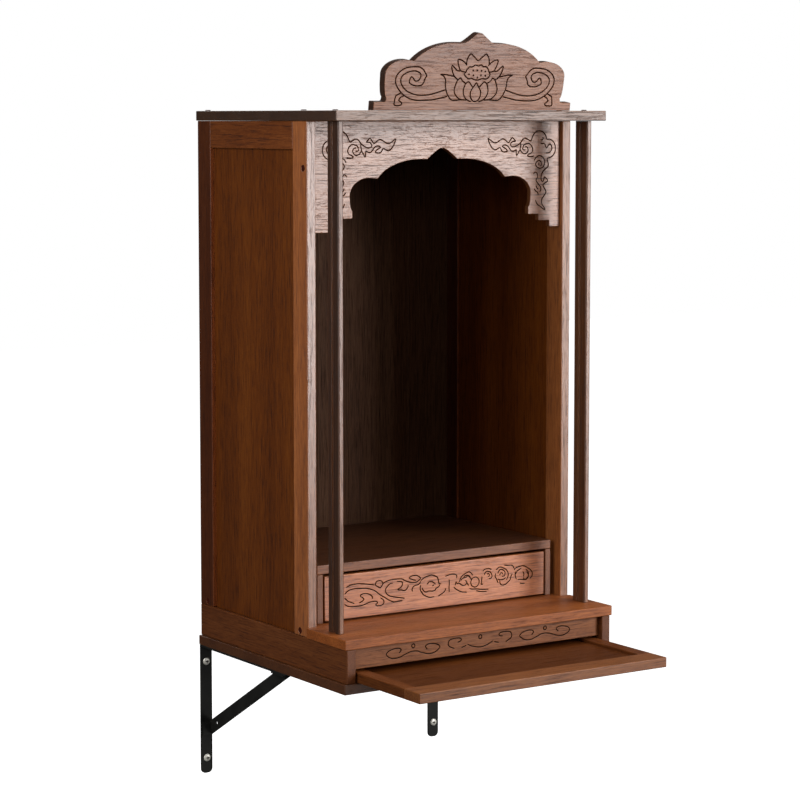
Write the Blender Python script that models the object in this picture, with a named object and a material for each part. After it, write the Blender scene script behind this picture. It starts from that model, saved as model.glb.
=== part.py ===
# Household altar cabinet of dark lacquered wood, hung on two steel brackets.
# Metres, Z up, X to the right, Y towards the wall. The wall is the plane Y = 0
# and the front of the cabinet looks along -Y. The origin is the middle of the
# rear face of the base rail, which rests against the wall.
import bpy
import bmesh
import math

for old in list(bpy.data.objects):
    bpy.data.objects.remove(old, do_unlink=True)

# clearances
JOINT_GAP = 0.0003
EDGE_EASE = 0.0008

# carcass
BODY_WIDTH = 0.480
BODY_DEPTH = 0.3267
FRAME_THICK = 0.015
STILE_WIDTH = 0.040
SIDE_HEIGHT = 0.8115
TOP_RAIL_HEIGHT = 0.0415
SIDE_PANEL_THICK = 0.0055
SIDE_PANEL_RECESS = 0.0065
BACK_THICK = 0.008
BACK_INSET = 0.003
BACK_BOARD_WIDTH = 0.0585
BACK_SEAM_WIDTH = 0.0012
BACK_SEAM_DEPTH = 0.0008

# top and base boards
TOP_THICK = 0.015
TOP_SETBACK = 0.022
TOP_OVERHANG = 0.0028
PLATFORM_THICK = 0.015
PLATFORM_OVERHANG = 0.0035
PLATFORM_NOSE = 0.001
BOTTOM_THICK = 0.015
BOTTOM_OVERHANG = 0.0041
PORCH_DEPTH = 0.1078
BASE_HEIGHT = 0.050
BASE_RAIL_THICK = 0.015
APRON_SETBACK = 0.009
APRON_THICK = 0.011
APRON_HEIGHT = 0.031

# arched valance, depths measured down from its top edge
VALANCE_THICK = 0.009
VALANCE_SETBACK = 0.0068
ARCH_OFFSET = 0.0035
ARCH_PEAK_DEPTH = 0.0406
ARCH_PEAK_HALF = 0.0045
ARCH_SHOULDER_HALF = 0.0272
ARCH_SHOULDER_DEPTH = 0.0570
ARCH_LOBE_INSET = 0.0124
ARCH_LOBE_SINK = 0.0165
ARCH_CUSP_REACH = 0.0150
ARCH_CUSP_DEPTH = 0.0855
ARCH_SMALL_RADIUS = 0.0342
ARCH_SMALL_TOP_DEPTH = 0.0840
ARCH_LOBE_SWELL = 0.0047
ARCH_WIDEST_DEPTH = 0.1110
ARCH_NECK_DEPTH = 0.1320
FOOT_STEP_WIDTHS = (0.0197, 0.0208, 0.0237)
FOOT_SOFT = 0.0020
FOOT_STEP_DEPTHS = (0.1435, 0.1535, 0.1634)

# crest board that stands on the top board and leans forward a little, heights
# measured along the board from its lower edge
CREST_THICK = 0.014
CREST_SETBACK = 0.0051
CREST_LEAN_DEGREES = 8.2
CREST_HALF = 0.1770
CREST_FOOT_HEIGHT = 0.0120
CREST_FOOT_REACH = 0.0208
CREST_NECK_HEIGHT = 0.0185
CREST_LOBE_SWELL = 0.0050
CREST_WIDEST_HEIGHT = 0.0513
CREST_SMALL_RADIUS = 0.0350
CREST_SMALL_TOP_HEIGHT = 0.0731
CREST_CUSP_REACH = 0.0135
CREST_CUSP_HEIGHT = 0.0715
CREST_SHOULDER_HALF = 0.0258
CREST_SHOULDER_HEIGHT = 0.0990
CREST_LOBE_INSET = 0.0127
CREST_LOBE_SINK = 0.0310
CREST_PEAK_HEIGHT = 0.1143
CREST_PEAK_HALF = 0.0040

# columns
COLUMN_WIDTH = 0.0086
COLUMN_DEPTH = 0.029
COLUMN_INSET = 0.0113
COLUMN_SETBACK = 0.0173
COLUMN_GROOVE_WIDTH = 0.0100
COLUMN_GROOVE_DEPTH = 0.0025

# raised step with its drawer
STEP_SETBACK = 0.0137
STEP_SIDE_GAP = 0.0090
STEP_RISE = 0.0746
SHELF_THICK = 0.014
STEP_SIDE_THICK = 0.0106
DRAWER_GAP_SIDE = 0.0027
DRAWER_GAP_TOP = 0.0041
DRAWER_GAP_BOTTOM = 0.0033
DRAWER_FRONT_THICK = 0.012
DRAWER_WALL = 0.009
DRAWER_FLOOR_THICK = 0.004
DRAWER_END_GAP = 0.003
DRAWER_RUN_GAP = 0.0005
DRAWER_WALL_DROP = 0.006

# sliding tray, shown pulled out
TRAY_GAP_SIDE = 0.0032
TRAY_RUN_GAP = 0.0006
TRAY_THICK = 0.015
TRAY_FRONT_RAIL = 0.040
TRAY_SIDE_RAIL = 0.022
TRAY_PANEL_THICK = 0.006
TRAY_PANEL_RECESS = 0.0045
TRAY_END_GAP = 0.0005
TRAY_OUT = 0.1610

# wall brackets
BAR_WIDTH = 0.020
BAR_THICK = 0.003
BRACKET_INSET_LEFT = 0.0073
BRACKET_INSET_RIGHT = 0.0372
BRACKET_DROP = 0.2090
BRACKET_REACH = 0.2620
BRACKET_TIP_ROUND = 0.0075
BRACE_FOOT_RISE = 0.0731
BRACE_HEAD_INSET = 0.0268
BRACE_TAB = 0.018
BRACE_HOLE_RADIUS = 0.0036
BRACE_HOLE_FROM_FOOT = 0.0185
SCREW_HOLE_RADIUS = 0.0026
SCREW_SHANK_RADIUS = 0.0022
SCREW_HEAD_RADIUS = 0.0060
SCREW_HEAD_HEIGHT = 0.0026
SCREW_UPPER_DROP = 0.0283
SCREW_TIP_RISE = 0.0248

# plugs over the screws in the sides and caps over those in the top
PLUG_RADIUS = 0.0048
PLUG_DEPTH = 0.0030
PLUG_CLEARANCE = 0.0003
PLUG_REAR_INSET = 0.0225
PLUG_FRONT_INSET = 0.0234
PLUG_TOP_INSET = 0.0105
PLUG_TOP_DROP = 0.0685
CAP_RADIUS = 0.0042
CAP_HEIGHT = 0.0013
CAP_INSET = 0.0200

# carving
CARVE_WIDTH = 0.0018
CARVE_DEPTH = 0.0008
CARVE_LIFT = 0.0006
CARVE_OFFSET = 0.0013
CARVE_SAMPLES = 1
APRON_DRAWN = (0.2247, 0.0310)
CREST_DRAWN = (0.1770, 0.1143)
VALANCE_DRAWN = (0.2247, 0.1634)
DRAWER_DRAWN = (0.2027, 0.0672)
DISC_SIDES = 12


# derived heights, from the bottom board up
Z_BOTTOM = -(BOTTOM_THICK + JOINT_GAP + BASE_HEIGHT / 2)
Z_BASE = Z_BOTTOM + BOTTOM_THICK + JOINT_GAP
Z_BASE_TOP = Z_BASE + BASE_HEIGHT
Z_PLATFORM = Z_BASE_TOP + JOINT_GAP
Z_PLATFORM_TOP = Z_PLATFORM + PLATFORM_THICK
Z_SIDE_TOP = Z_BASE + SIDE_HEIGHT
Z_TOP = Z_SIDE_TOP + JOINT_GAP
Z_TOP_TOP = Z_TOP + TOP_THICK
Z_SHELF = Z_PLATFORM_TOP + STEP_RISE
Z_SHELF_TOP = Z_SHELF + SHELF_THICK
Z_VALANCE_TOP = Z_SIDE_TOP
HALF = BODY_WIDTH / 2
INNER = HALF - FRAME_THICK
Y_BACK_FRONT = -(BACK_INSET + BACK_THICK)
Y_STILE_FRONT = -BODY_DEPTH
Y_VALANCE = -(BODY_DEPTH - VALANCE_SETBACK)
BASE_DEPTH = BODY_DEPTH + PORCH_DEPTH
TOP_DEPTH = BASE_DEPTH - TOP_SETBACK
COLUMN_OUTER = HALF - COLUMN_INSET
COLUMN_FRONT = TOP_DEPTH - COLUMN_SETBACK
STEP_FRONT = BODY_DEPTH - STEP_SETBACK
VALANCE_HALF = INNER - JOINT_GAP
ARCH_NECK_HALF = VALANCE_HALF - sum(FOOT_STEP_WIDTHS)
ARCH_WIDEST_HALF = ARCH_NECK_HALF + ARCH_LOBE_SWELL
ARCH_SMALL_TOP_HALF = ARCH_WIDEST_HALF - ARCH_SMALL_RADIUS
ARCH_CUSP_HALF = ARCH_SMALL_TOP_HALF - ARCH_CUSP_REACH
CREST_NECK_HALF = CREST_HALF - CREST_FOOT_REACH
CREST_WIDEST_HALF = CREST_NECK_HALF + CREST_LOBE_SWELL
CREST_SMALL_TOP_HALF = CREST_WIDEST_HALF - CREST_SMALL_RADIUS
CREST_CUSP_HALF = CREST_SMALL_TOP_HALF - CREST_CUSP_REACH
BRACKET_X_LEFT = -(HALF - BRACKET_INSET_LEFT)
BRACKET_X_RIGHT = HALF - BRACKET_INSET_RIGHT
BRACE_FOOT_DROP = BRACKET_DROP - BRACE_FOOT_RISE
BRACE_TOP_REACH = BRACKET_REACH - BRACE_HEAD_INSET
SCREW_LOWER_DROP = BRACKET_DROP - SCREW_TIP_RISE


def material(name, colour, roughness, metallic=0.0):
    mat = bpy.data.materials.new(name)
    mat.use_nodes = True
    shader = mat.node_tree.nodes["Principled BSDF"]
    shader.inputs["Base Color"].default_value = (colour[0], colour[1], colour[2], 1.0)
    shader.inputs["Roughness"].default_value = roughness
    shader.inputs["Metallic"].default_value = metallic
    mat.diffuse_color = (colour[0], colour[1], colour[2], 1.0)
    return mat


WOOD = material("lacquered_wood", (0.150, 0.062, 0.026), 0.38)
PALE = material("front_wood", (0.230, 0.120, 0.075), 0.42)
DARK = material("back_wood", (0.060, 0.030, 0.018), 0.5)
STEEL = material("black_steel", (0.020, 0.020, 0.019), 0.45, 0.3)
ZINC = material("screw_zinc", (0.560, 0.520, 0.440), 0.35, 0.9)
PLUG = material("dark_plug", (0.035, 0.012, 0.008), 0.5)


def mesh_object(name, verts, faces, mat):
    mesh = bpy.data.meshes.new(name)
    mesh.from_pydata(verts, [], faces)
    work = bmesh.new()
    work.from_mesh(mesh)
    bmesh.ops.recalc_face_normals(work, faces=work.faces)
    work.to_mesh(mesh)
    work.free()
    mesh.materials.append(mat)
    obj = bpy.data.objects.new(name, mesh)
    bpy.context.scene.collection.objects.link(obj)
    return obj


def ease(obj, width=EDGE_EASE):
    mod = obj.modifiers.new("ease", "BEVEL")
    mod.width = width
    mod.segments = 1
    mod.limit_method = "ANGLE"
    mod.angle_limit = math.radians(50)
    return obj


def box(name, x, y, z, mat, eased=True):
    verts = [(a, b, c) for a in x for b in y for c in z]
    faces = [(0, 1, 3, 2), (4, 6, 7, 5), (0, 4, 5, 1), (2, 3, 7, 6), (0, 2, 6, 4), (1, 5, 7, 3)]
    obj = mesh_object(name, verts, faces, mat)
    if eased:
        ease(obj)
    return obj


def prism(name, outline, axis, lo, hi, mat):
    # outline is a loop of points in the plane square to the axis
    spots = {"X": lambda p, s: (s, p[0], p[1]), "Y": lambda p, s: (p[0], s, p[1]),
        "Z": lambda p, s: (p[0], p[1], s)}
    place = spots[axis]
    n = len(outline)
    verts = [place(p, lo) for p in outline] + [place(p, hi) for p in outline]
    faces = [tuple(range(n)), tuple(range(2 * n - 1, n - 1, -1))]
    faces += [(i, (i + 1) % n, n + (i + 1) % n, n + i) for i in range(n)]
    return mesh_object(name, verts, faces, mat)


def disc(name, centre, axis, radius, lo, hi, mat, sides=DISC_SIDES):
    ring = [2 * math.pi * i / sides for i in range(sides)]
    outline = [(centre[0] + radius * math.cos(a), centre[1] + radius * math.sin(a)) for a in ring]
    return prism(name, outline, axis, lo, hi, mat)


def smooth_round(obj):
    for face in obj.data.polygons:
        face.use_smooth = len(face.vertices) == 4
    return obj


def cut(target, cutter, crossing=False):
    mod = target.modifiers.new("cut_" + cutter.name, "BOOLEAN")
    mod.operation = "DIFFERENCE"
    mod.solver = "EXACT"
    mod.use_self = crossing
    mod.object = cutter
    cutter.hide_render = True
    cutter.display_type = "WIRE"
    return target


def join_to(target, piece):
    mod = target.modifiers.new("join_" + piece.name, "BOOLEAN")
    mod.operation = "UNION"
    mod.solver = "EXACT"
    mod.object = piece
    piece.hide_render = True
    piece.display_type = "WIRE"
    return target


# outlines
def bow(centre, radii, start, end, steps):
    # part of an ellipse, angles in degrees
    angles = [math.radians(start + (end - start) * i / steps) for i in range(steps + 1)]
    return [(centre[0] + radii[0] * math.cos(a), centre[1] + radii[1] * math.sin(a)) for a in angles]


def mirrored_loop(half):
    return half + [(-p[0], p[1]) for p in reversed(half) if abs(p[0]) > 1e-6]


def arch_half():
    # half of the valance's lower edge from the peak outwards, as (x, depth)
    fall = ARCH_SHOULDER_DEPTH - ARCH_PEAK_DEPTH
    pts = [(0.0, ARCH_PEAK_DEPTH), (ARCH_PEAK_HALF, ARCH_PEAK_DEPTH + fall * 0.04)]
    pts.append((ARCH_SHOULDER_HALF * 0.60, ARCH_PEAK_DEPTH + fall * 0.48))
    pts.append((ARCH_SHOULDER_HALF, ARCH_SHOULDER_DEPTH))
    lobe_x = ARCH_SHOULDER_HALF + ARCH_LOBE_INSET
    tall = ARCH_CUSP_DEPTH - ARCH_SHOULDER_DEPTH + ARCH_LOBE_SINK
    stop = math.asin(ARCH_LOBE_SINK / tall)
    reach = (ARCH_CUSP_HALF - lobe_x) / math.cos(stop)
    low = ARCH_SHOULDER_DEPTH + tall
    pts += bow((lobe_x, low), (reach, -tall), 90, math.degrees(stop), 9)
    pts.append((ARCH_CUSP_HALF + 0.008, ARCH_SMALL_TOP_DEPTH + 0.0006))
    small_x = ARCH_WIDEST_HALF - ARCH_SMALL_TOP_HALF
    small_z = ARCH_WIDEST_DEPTH - ARCH_SMALL_TOP_DEPTH
    pts += bow((ARCH_SMALL_TOP_HALF, ARCH_WIDEST_DEPTH), (small_x, -small_z), 90, 0, 6)
    under = ARCH_NECK_DEPTH - ARCH_WIDEST_DEPTH
    pts += bow((ARCH_NECK_HALF, ARCH_WIDEST_DEPTH), (ARCH_WIDEST_HALF - ARCH_NECK_HALF, under),
        30, 90, 3)
    x = ARCH_NECK_HALF
    for width, depth in zip(FOOT_STEP_WIDTHS, FOOT_STEP_DEPTHS):
        pts.append((x, depth - FOOT_SOFT))
        pts.append((x + FOOT_SOFT, depth))
        x += width
        pts.append((x, depth))
    return pts[:-1]


def crest_half():
    # half of the crest's upper edge from the peak outwards, as (x, height)
    pts = [(0.0, CREST_PEAK_HEIGHT), (CREST_PEAK_HALF, CREST_PEAK_HEIGHT - 0.0008)]
    drop = CREST_PEAK_HEIGHT - CREST_SHOULDER_HEIGHT
    pts.append((CREST_SHOULDER_HALF * 0.36, CREST_PEAK_HEIGHT - drop * 0.30))
    pts.append((CREST_SHOULDER_HALF * 0.78, CREST_PEAK_HEIGHT - drop * 0.80))
    pts.append((CREST_SHOULDER_HALF, CREST_SHOULDER_HEIGHT))
    lobe_x = CREST_SHOULDER_HALF + CREST_LOBE_INSET
    tall = CREST_SHOULDER_HEIGHT - CREST_CUSP_HEIGHT + CREST_LOBE_SINK
    stop = math.asin(CREST_LOBE_SINK / tall)
    reach = (CREST_CUSP_HALF - lobe_x) / math.cos(stop)
    low = CREST_SHOULDER_HEIGHT - tall
    pts += bow((lobe_x, low), (reach, tall), 90, math.degrees(stop), 9)
    small_x = CREST_WIDEST_HALF - CREST_SMALL_TOP_HALF
    small_z = CREST_SMALL_TOP_HEIGHT - CREST_WIDEST_HEIGHT
    pts += bow((CREST_SMALL_TOP_HALF, CREST_WIDEST_HEIGHT), (small_x, small_z), 100, 0, 8)
    under = CREST_WIDEST_HEIGHT - CREST_NECK_HEIGHT
    tuck = CREST_WIDEST_HALF - CREST_NECK_HALF
    pts += bow((CREST_NECK_HALF, CREST_WIDEST_HEIGHT), (tuck, -under), 25, 90, 4)
    pts.append((CREST_NECK_HALF + 0.0008, CREST_FOOT_HEIGHT + 0.0030))
    pts.append((CREST_NECK_HALF + 0.0035, CREST_FOOT_HEIGHT))
    pts.append((CREST_HALF - 0.0012, CREST_FOOT_HEIGHT))
    pts.append((CREST_HALF, CREST_FOOT_HEIGHT - 0.0012))
    pts.append((CREST_HALF, 0.0))
    return pts


# carved lines: each stroke is (points, closed), in metres on the board's face
MM = 0.001


def flow(points, samples, closed=False):
    # a smooth line through turning points in millimetres; a third number marks a corner
    n = len(points)
    spans = n if closed else n - 1
    out = []
    for i in range(spans):
        p1 = points[i]
        p2 = points[(i + 1) % n]
        p0 = points[(i - 1) % n] if closed or i > 0 else p1
        p3 = points[(i + 2) % n] if closed or i < n - 2 else p2
        if len(p1) > 2:
            p0 = p1
        if len(p2) > 2:
            p3 = p2
        for s in range(samples):
            t = s / samples
            w0 = -0.5 * t + t * t - 0.5 * t ** 3
            w1 = 1 - 2.5 * t * t + 1.5 * t ** 3
            w2 = 0.5 * t + 2 * t * t - 1.5 * t ** 3
            w3 = -0.5 * t * t + 0.5 * t ** 3
            u = w0 * p0[0] + w1 * p1[0] + w2 * p2[0] + w3 * p3[0]
            v = w0 * p0[1] + w1 * p1[1] + w2 * p2[1] + w3 * p3[1]
            out.append((u * MM, v * MM))
    if not closed:
        out.append((points[-1][0] * MM, points[-1][1] * MM))
    return (out, closed)


def ring(centre, radii, steps, scallops=0, swell=0.0, phase=0.0):
    pts = []
    for i in range(steps):
        a = 2 * math.pi * i / steps
        k = 1 + swell * math.cos(scallops * a + phase)
        pts.append(((centre[0] + radii[0] * k * math.cos(a)) * MM,
            (centre[1] + radii[1] * k * math.sin(a)) * MM))
    return (pts, True)


def both_sides(strokes):
    return strokes + [([(-p[0], p[1]) for p in pts], closed) for pts, closed in strokes]


def lotus(samples):
    # petals and seed pod above the middle of the crest, as (x, height)
    petals = [[(6.5, 34), (10, 38.3), (14, 42, 1), (19, 39.3), (21.8, 33), (22, 26), (18.5, 18.5),
        (12.5, 14.2), (6, 12.8)]]
    petals.append([(19, 39.7), (25, 43.2), (28.3, 47.3, 1), (33, 44.8), (37.6, 36), (38.4, 28.5),
        (33.5, 20.3), (27, 16.2), (14, 15.3)])
    petals.append([(33, 44.8), (40, 49.5), (52, 52), (65.5, 52.4)])
    petals.append([(64.6, 52.6), (58, 48.8), (55.3, 42), (53, 30), (49, 21.3), (43.5, 15.8),
        (27, 15.4)])
    petals.append([(30.5, 58.5), (35, 58), (39.5, 61.4), (45.7, 66, 1), (44.8, 58), (40, 50.5),
        (33.5, 44.8)])
    petals.append([(20.8, 68), (28, 73.3), (35.8, 74.2, 1), (35.3, 67.5), (30.8, 58.6),
        (22, 56.5)])
    petals.append([(20.3, 66), (20.6, 72.5), (17.5, 79.5), (13.2, 83), (8, 79.3), (0.0, 73)])
    lines = both_sides([flow(points, samples) for points in petals])
    middle = [(0, 40.8, 1), (5, 34.5), (9.4, 26), (7.2, 17), (0, 13), (-7.2, 17), (-9.4, 26),
        (-5, 34.5)]
    lines.append(flow(middle, samples, True))
    lines.append(ring((0.3, 56), (22.4, 10.7), 12 * samples + 8, 10, 0.05, 0.4))
    return lines


def crest_scroll(samples):
    # one long line that rolls up, and a small hook under it
    roll = [(50, 20.5), (64, 17.5), (80, 15), (100, 14.3), (115, 16.5), (128, 23), (138, 32.5),
        (142.5, 43), (138, 54), (127, 61), (112, 63.3), (99, 61.5)]
    roll += [(89, 50.5, 1), (92.5, 44), (95, 38), (106, 35.5), (117, 39), (118, 44.5),
        (115.3, 48.3), (106.5, 42.3), (100, 46.5), (101, 54), (111, 57.3)]
    roll += [(125, 54), (133, 47), (132, 38), (122, 28), (108, 23), (92, 22), (76, 24), (54, 30)]
    hook = [(132, 24.7), (140.5, 20, 1), (142, 8.5), (138, 6.8), (131, 7.2), (128.5, 9.5, 1),
        (134, 14.8), (126, 21)]
    return [flow(roll, samples), flow(hook, samples)]


def corner_cloud(samples):
    # cloud and flame in one corner of the valance, as (x, depth)
    top = [(84, 26.5, 1), (90, 30.5), (96, 33.3), (104, 31), (112, 27.5), (121, 32.5),
        (124, 32.5), (130, 25.5, 1), (136, 31, 1), (129.5, 32.3), (126.5, 36), (131, 39.7)]
    top += [(141, 36.5), (147, 31.5), (154, 26.5), (162, 29.8), (165.5, 30.3, 1), (169, 22.5),
        (176, 16), (185, 15), (192, 20), (195.5, 28.6, 1), (192, 34.5)]
    tail = [(195.5, 28.6), (204, 29.2), (211, 36.5), (211.5, 47), (206, 54.5), (196, 58.3, 1),
        (198.5, 68), (194, 73.8), (187, 80), (185, 87.5), (187.3, 93.3)]
    tail += [(191, 87, 1), (197.6, 91.5, 1), (188.6, 99, 1), (194.3, 109.5), (186.6, 120),
        (187, 128.5), (193, 136.5, 1), (184, 132), (174.5, 121.5)]
    low = [(84, 26.5), (87.5, 35.5), (92.5, 41.5), (98, 44), (106, 40.8), (110.5, 46.4),
        (120.5, 46, 1), (111, 38.8, 1), (118, 36.8), (124, 41.5), (130, 46.5), (137, 44.5, 1)]
    low += [(138.3, 53, 1), (142, 47.5), (148, 40.8)]
    first = [(146, 33.5), (145, 41.5), (149, 49), (156, 50), (160, 45), (157, 39.8), (152, 39.5)]
    second = [(155, 44.2), (150.3, 44), (150.6, 38.5), (158, 34.8), (165, 37), (169, 43.5),
        (166, 49.3), (159.5, 51.5), (161, 54.4), (171, 54.5)]
    third = [(194, 49.5), (201, 48.5), (205.3, 42), (201.7, 35.6), (197, 40), (193, 39)]
    fourth = [(171.5, 61.5), (176, 55.5), (183, 53.4), (190, 58.5), (191, 66), (186, 72.3),
        (178.5, 72), (174.6, 66), (178, 61.2), (184, 62.5), (185.4, 67.5), (182, 70)]
    flame = [(170, 81), (175.5, 79.2), (178.3, 83), (175.3, 90), (179, 97), (184, 101.5),
        (184.5, 106.5), (181.5, 110)]
    return [flow(p, samples) for p in (top, tail, low, first, second, third, fourth, flame)]


def drawer_scroll(samples):
    # leaves and scrolls on the left, open flowers on the right, as (x, height)
    rows = [[(-166, 4.5), (-157, 9.5), (-142, 10.5), (-124, 7), (-110, 0), (-97, -9), (-83, -15.5),
        (-64, -16.5)]]
    rows.append([(-157, 16), (-140, 17.3), (-124, 15), (-114, 12.5)])
    rows.append([(-99.5, 13.5), (-88, 17.5), (-72, 17.5), (-57, 12.5), (-48, 7.5), (-37, 9.5),
        (-31, 15), (-40, 20), (-51, 17.8), (-41, 12.5)])
    rows.append([(-83, 12.5), (-93, 7), (-94, -1), (-85, -7.5), (-65, -13), (-50, -14)])
    rows.append([(-79, 13.5), (-66, 12.8), (-65, 6), (-73, 1, 1), (-62, -1.5), (-53.5, 7)])
    rows.append([(-168, -1), (-158, -9), (-148, -11.5)])
    rows.append([(-168.5, -11), (-155, -16.5), (-136, -16.5), (-121, -12.5), (-110, -13.5),
        (-115.5, -17, 1), (-103, -19.8), (-98, -14), (-105, -8)])
    rows.append([(-142, -11.5), (-134.5, -7), (-140, -2), (-133, 1.3), (-122, -2), (-118.5, -8)])
    rows.append([(-47, -4), (-45, 3), (-34, 6.5), (-25, 14.5), (-12, 17), (0, 13), (3.5, 4)])
    rows.append([(-29, -7), (-21, -14.5), (-8, -16.8), (8.5, -13.4), (15.7, -6)])
    rows.append([(-27, -2), (-22, -7), (-8, -7), (-3, -4), (-9, 1.5)])
    rows.append([(15, 12.7), (27, 15.1), (36, 11.2), (35.7, 7.8)])
    rows.append([(21.7, 7.6), (22, -12.3)])
    rows.append([(41, 1), (43.5, 7.3), (48.2, 11.7), (58.3, 15.5), (66.5, 9.1)])
    rows.append([(44.3, 3.4), (48, 7.2), (57, 9.2), (63, 3.6)])
    rows.append([(30.6, -5.5), (41.9, -13), (55.2, -15.9)])
    rows.append([(36.5, -1.6), (42, -1.5), (49, -4.8), (55, -0.6), (51.8, 2.6)])
    rows.append([(59.9, -10.4), (70, -12.6), (82, -14.3), (96, -15.4)])
    rows.append([(85, 13.5), (90, 16.8), (102, 14.9)])
    rows.append([(83.8, 5.9), (82.8, -5)])
    rows.append([(88.2, 8), (93.7, 12.9), (101.5, 8.5), (100.8, 1.3), (96, 0.8)])
    rows.append([(110.3, 13.3), (118.5, 17), (129.4, 12.3), (133.6, 4.5), (130.2, -4)])
    rows.append([(113.8, 7.4), (120, 13.2), (127.5, 8.5), (121.5, 2.1)])
    rows.append([(109.7, 7.8), (109.3, 1.5), (114.5, -7.8)])
    rows.append([(117.5, -4), (121.5, -11.5), (133, -8.1), (139, 0.4), (141.4, 4.7)])
    rows.append([(144.6, 10.2), (153, 14.2), (164, 14.8), (177.7, 6.3), (180.3, -1), (175.2, -6.6)])
    rows.append([(148.3, 3.3), (152, 8.6), (159, 11.4)])
    rows.append([(161.8, 5.9), (163.6, -2.3)])
    rows.append([(167.6, 8.6), (173, 1.5), (168, -6.5), (151.9, -6.1)])
    rings = [ring((-107, 13), (7.0, 5.2), 8 * samples), ring((70.4, -1.6), (7.9, 7.8), 9 * samples)]
    return [flow(points, samples) for points in rows] + rings


def apron_scroll(samples):
    # running waves with end curls and small rings, as (x, height)
    curl = [(42, 3.8), (36.5, 4.4), (34.2, 6.8), (41, 10.3), (54.5, 8.8), (58.7, 2), (50.5, -3.6),
        (43, -6.2)]
    wave = [(95.7, -0.5), (98.4, 3), (90.7, 7.5), (76.7, 4), (73, 1, 1), (80.7, -5), (90, -7.4),
        (101.7, -4.5), (119.7, -0.7), (133.7, -4), (148.7, -7.2), (161.7, -5)]
    wave += [(167.8, 0.5, 1), (161.7, 5.8), (148.7, 7), (142, 4), (146.7, -0.3)]
    crest = [(33, -4.6), (24.2, -1.2, 1), (13, -6), (0, -8.2)]
    lines = both_sides([flow(curl, samples), flow(wave, samples), flow(crest, samples),
        ring((120, 7.6), (2.6, 2.6), 3 * samples + 3)])
    lines.append(ring((0, 7.3), (2.6, 2.6), 3 * samples + 3))
    return lines


def shifted(strokes, du, dv, flip=False):
    sign = -1 if flip else 1
    return [([(p[0] + du, sign * p[1] + dv) for p in pts], closed) for pts, closed in strokes]


def fitted(strokes, drawn, real):
    # stretch a carving from the board that it was drawn for to the real one
    su = real[0] / drawn[0]
    sv = real[1] / drawn[1]
    return [([(p[0] * su, p[1] * sv) for p in pts], closed) for pts, closed in strokes]


def carve(board, strokes, y_face):
    # a V groove along every stroke on a face that looks along -Y
    verts = []
    faces = []
    half = CARVE_WIDTH / 2 * (1 + CARVE_LIFT / CARVE_DEPTH)
    for pts, closed in strokes:
        n = len(pts)
        first = len(verts)
        for i, (u, v) in enumerate(pts):
            a = pts[i - 1] if closed or i > 0 else pts[i]
            b = pts[(i + 1) % n] if closed or i < n - 1 else pts[i]
            du = b[0] - a[0]
            dv = b[1] - a[1]
            size = math.hypot(du, dv)
            side = (-dv / size * half, du / size * half)
            verts.append((u + side[0], y_face - CARVE_LIFT, v + side[1]))
            verts.append((u - side[0], y_face - CARVE_LIFT, v - side[1]))
            verts.append((u, y_face + CARVE_DEPTH, v))
        for i in range(n if closed else n - 1):
            a = first + 3 * i
            b = first + 3 * ((i + 1) % n)
            faces.append((a, b, b + 1, a + 1))
            faces.append((a + 1, b + 1, b + 2, a + 2))
            faces.append((a + 2, b + 2, b, a))
        if not closed:
            last = first + 3 * (n - 1)
            faces.append((first, first + 1, first + 2))
            faces.append((last, last + 2, last + 1))
    cutter = mesh_object(board.name + "_carving_cutter", verts, faces, PLUG)
    cut(board, cutter, True)
    return cutter


def lean(obj, y_foot, z_foot, flat_foot):
    # tip an upright board forward about its front lower edge; its foot stays level
    turn = math.radians(CREST_LEAN_DEGREES)
    for vert in obj.data.vertices:
        back = vert.co.y
        up = vert.co.z
        if flat_foot and up < 1e-6:
            up = -back * math.tan(turn)
        vert.co.y = y_foot + back * math.cos(turn) - up * math.sin(turn)
        vert.co.z = z_foot + back * math.sin(turn) + up * math.cos(turn)
    return obj


# bottom board
x_bottom = HALF + BOTTOM_OVERHANG
box("bottom_board", (-x_bottom, x_bottom), (-BASE_DEPTH, 0.0),
    (Z_BOTTOM, Z_BOTTOM + BOTTOM_THICK), WOOD)

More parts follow.
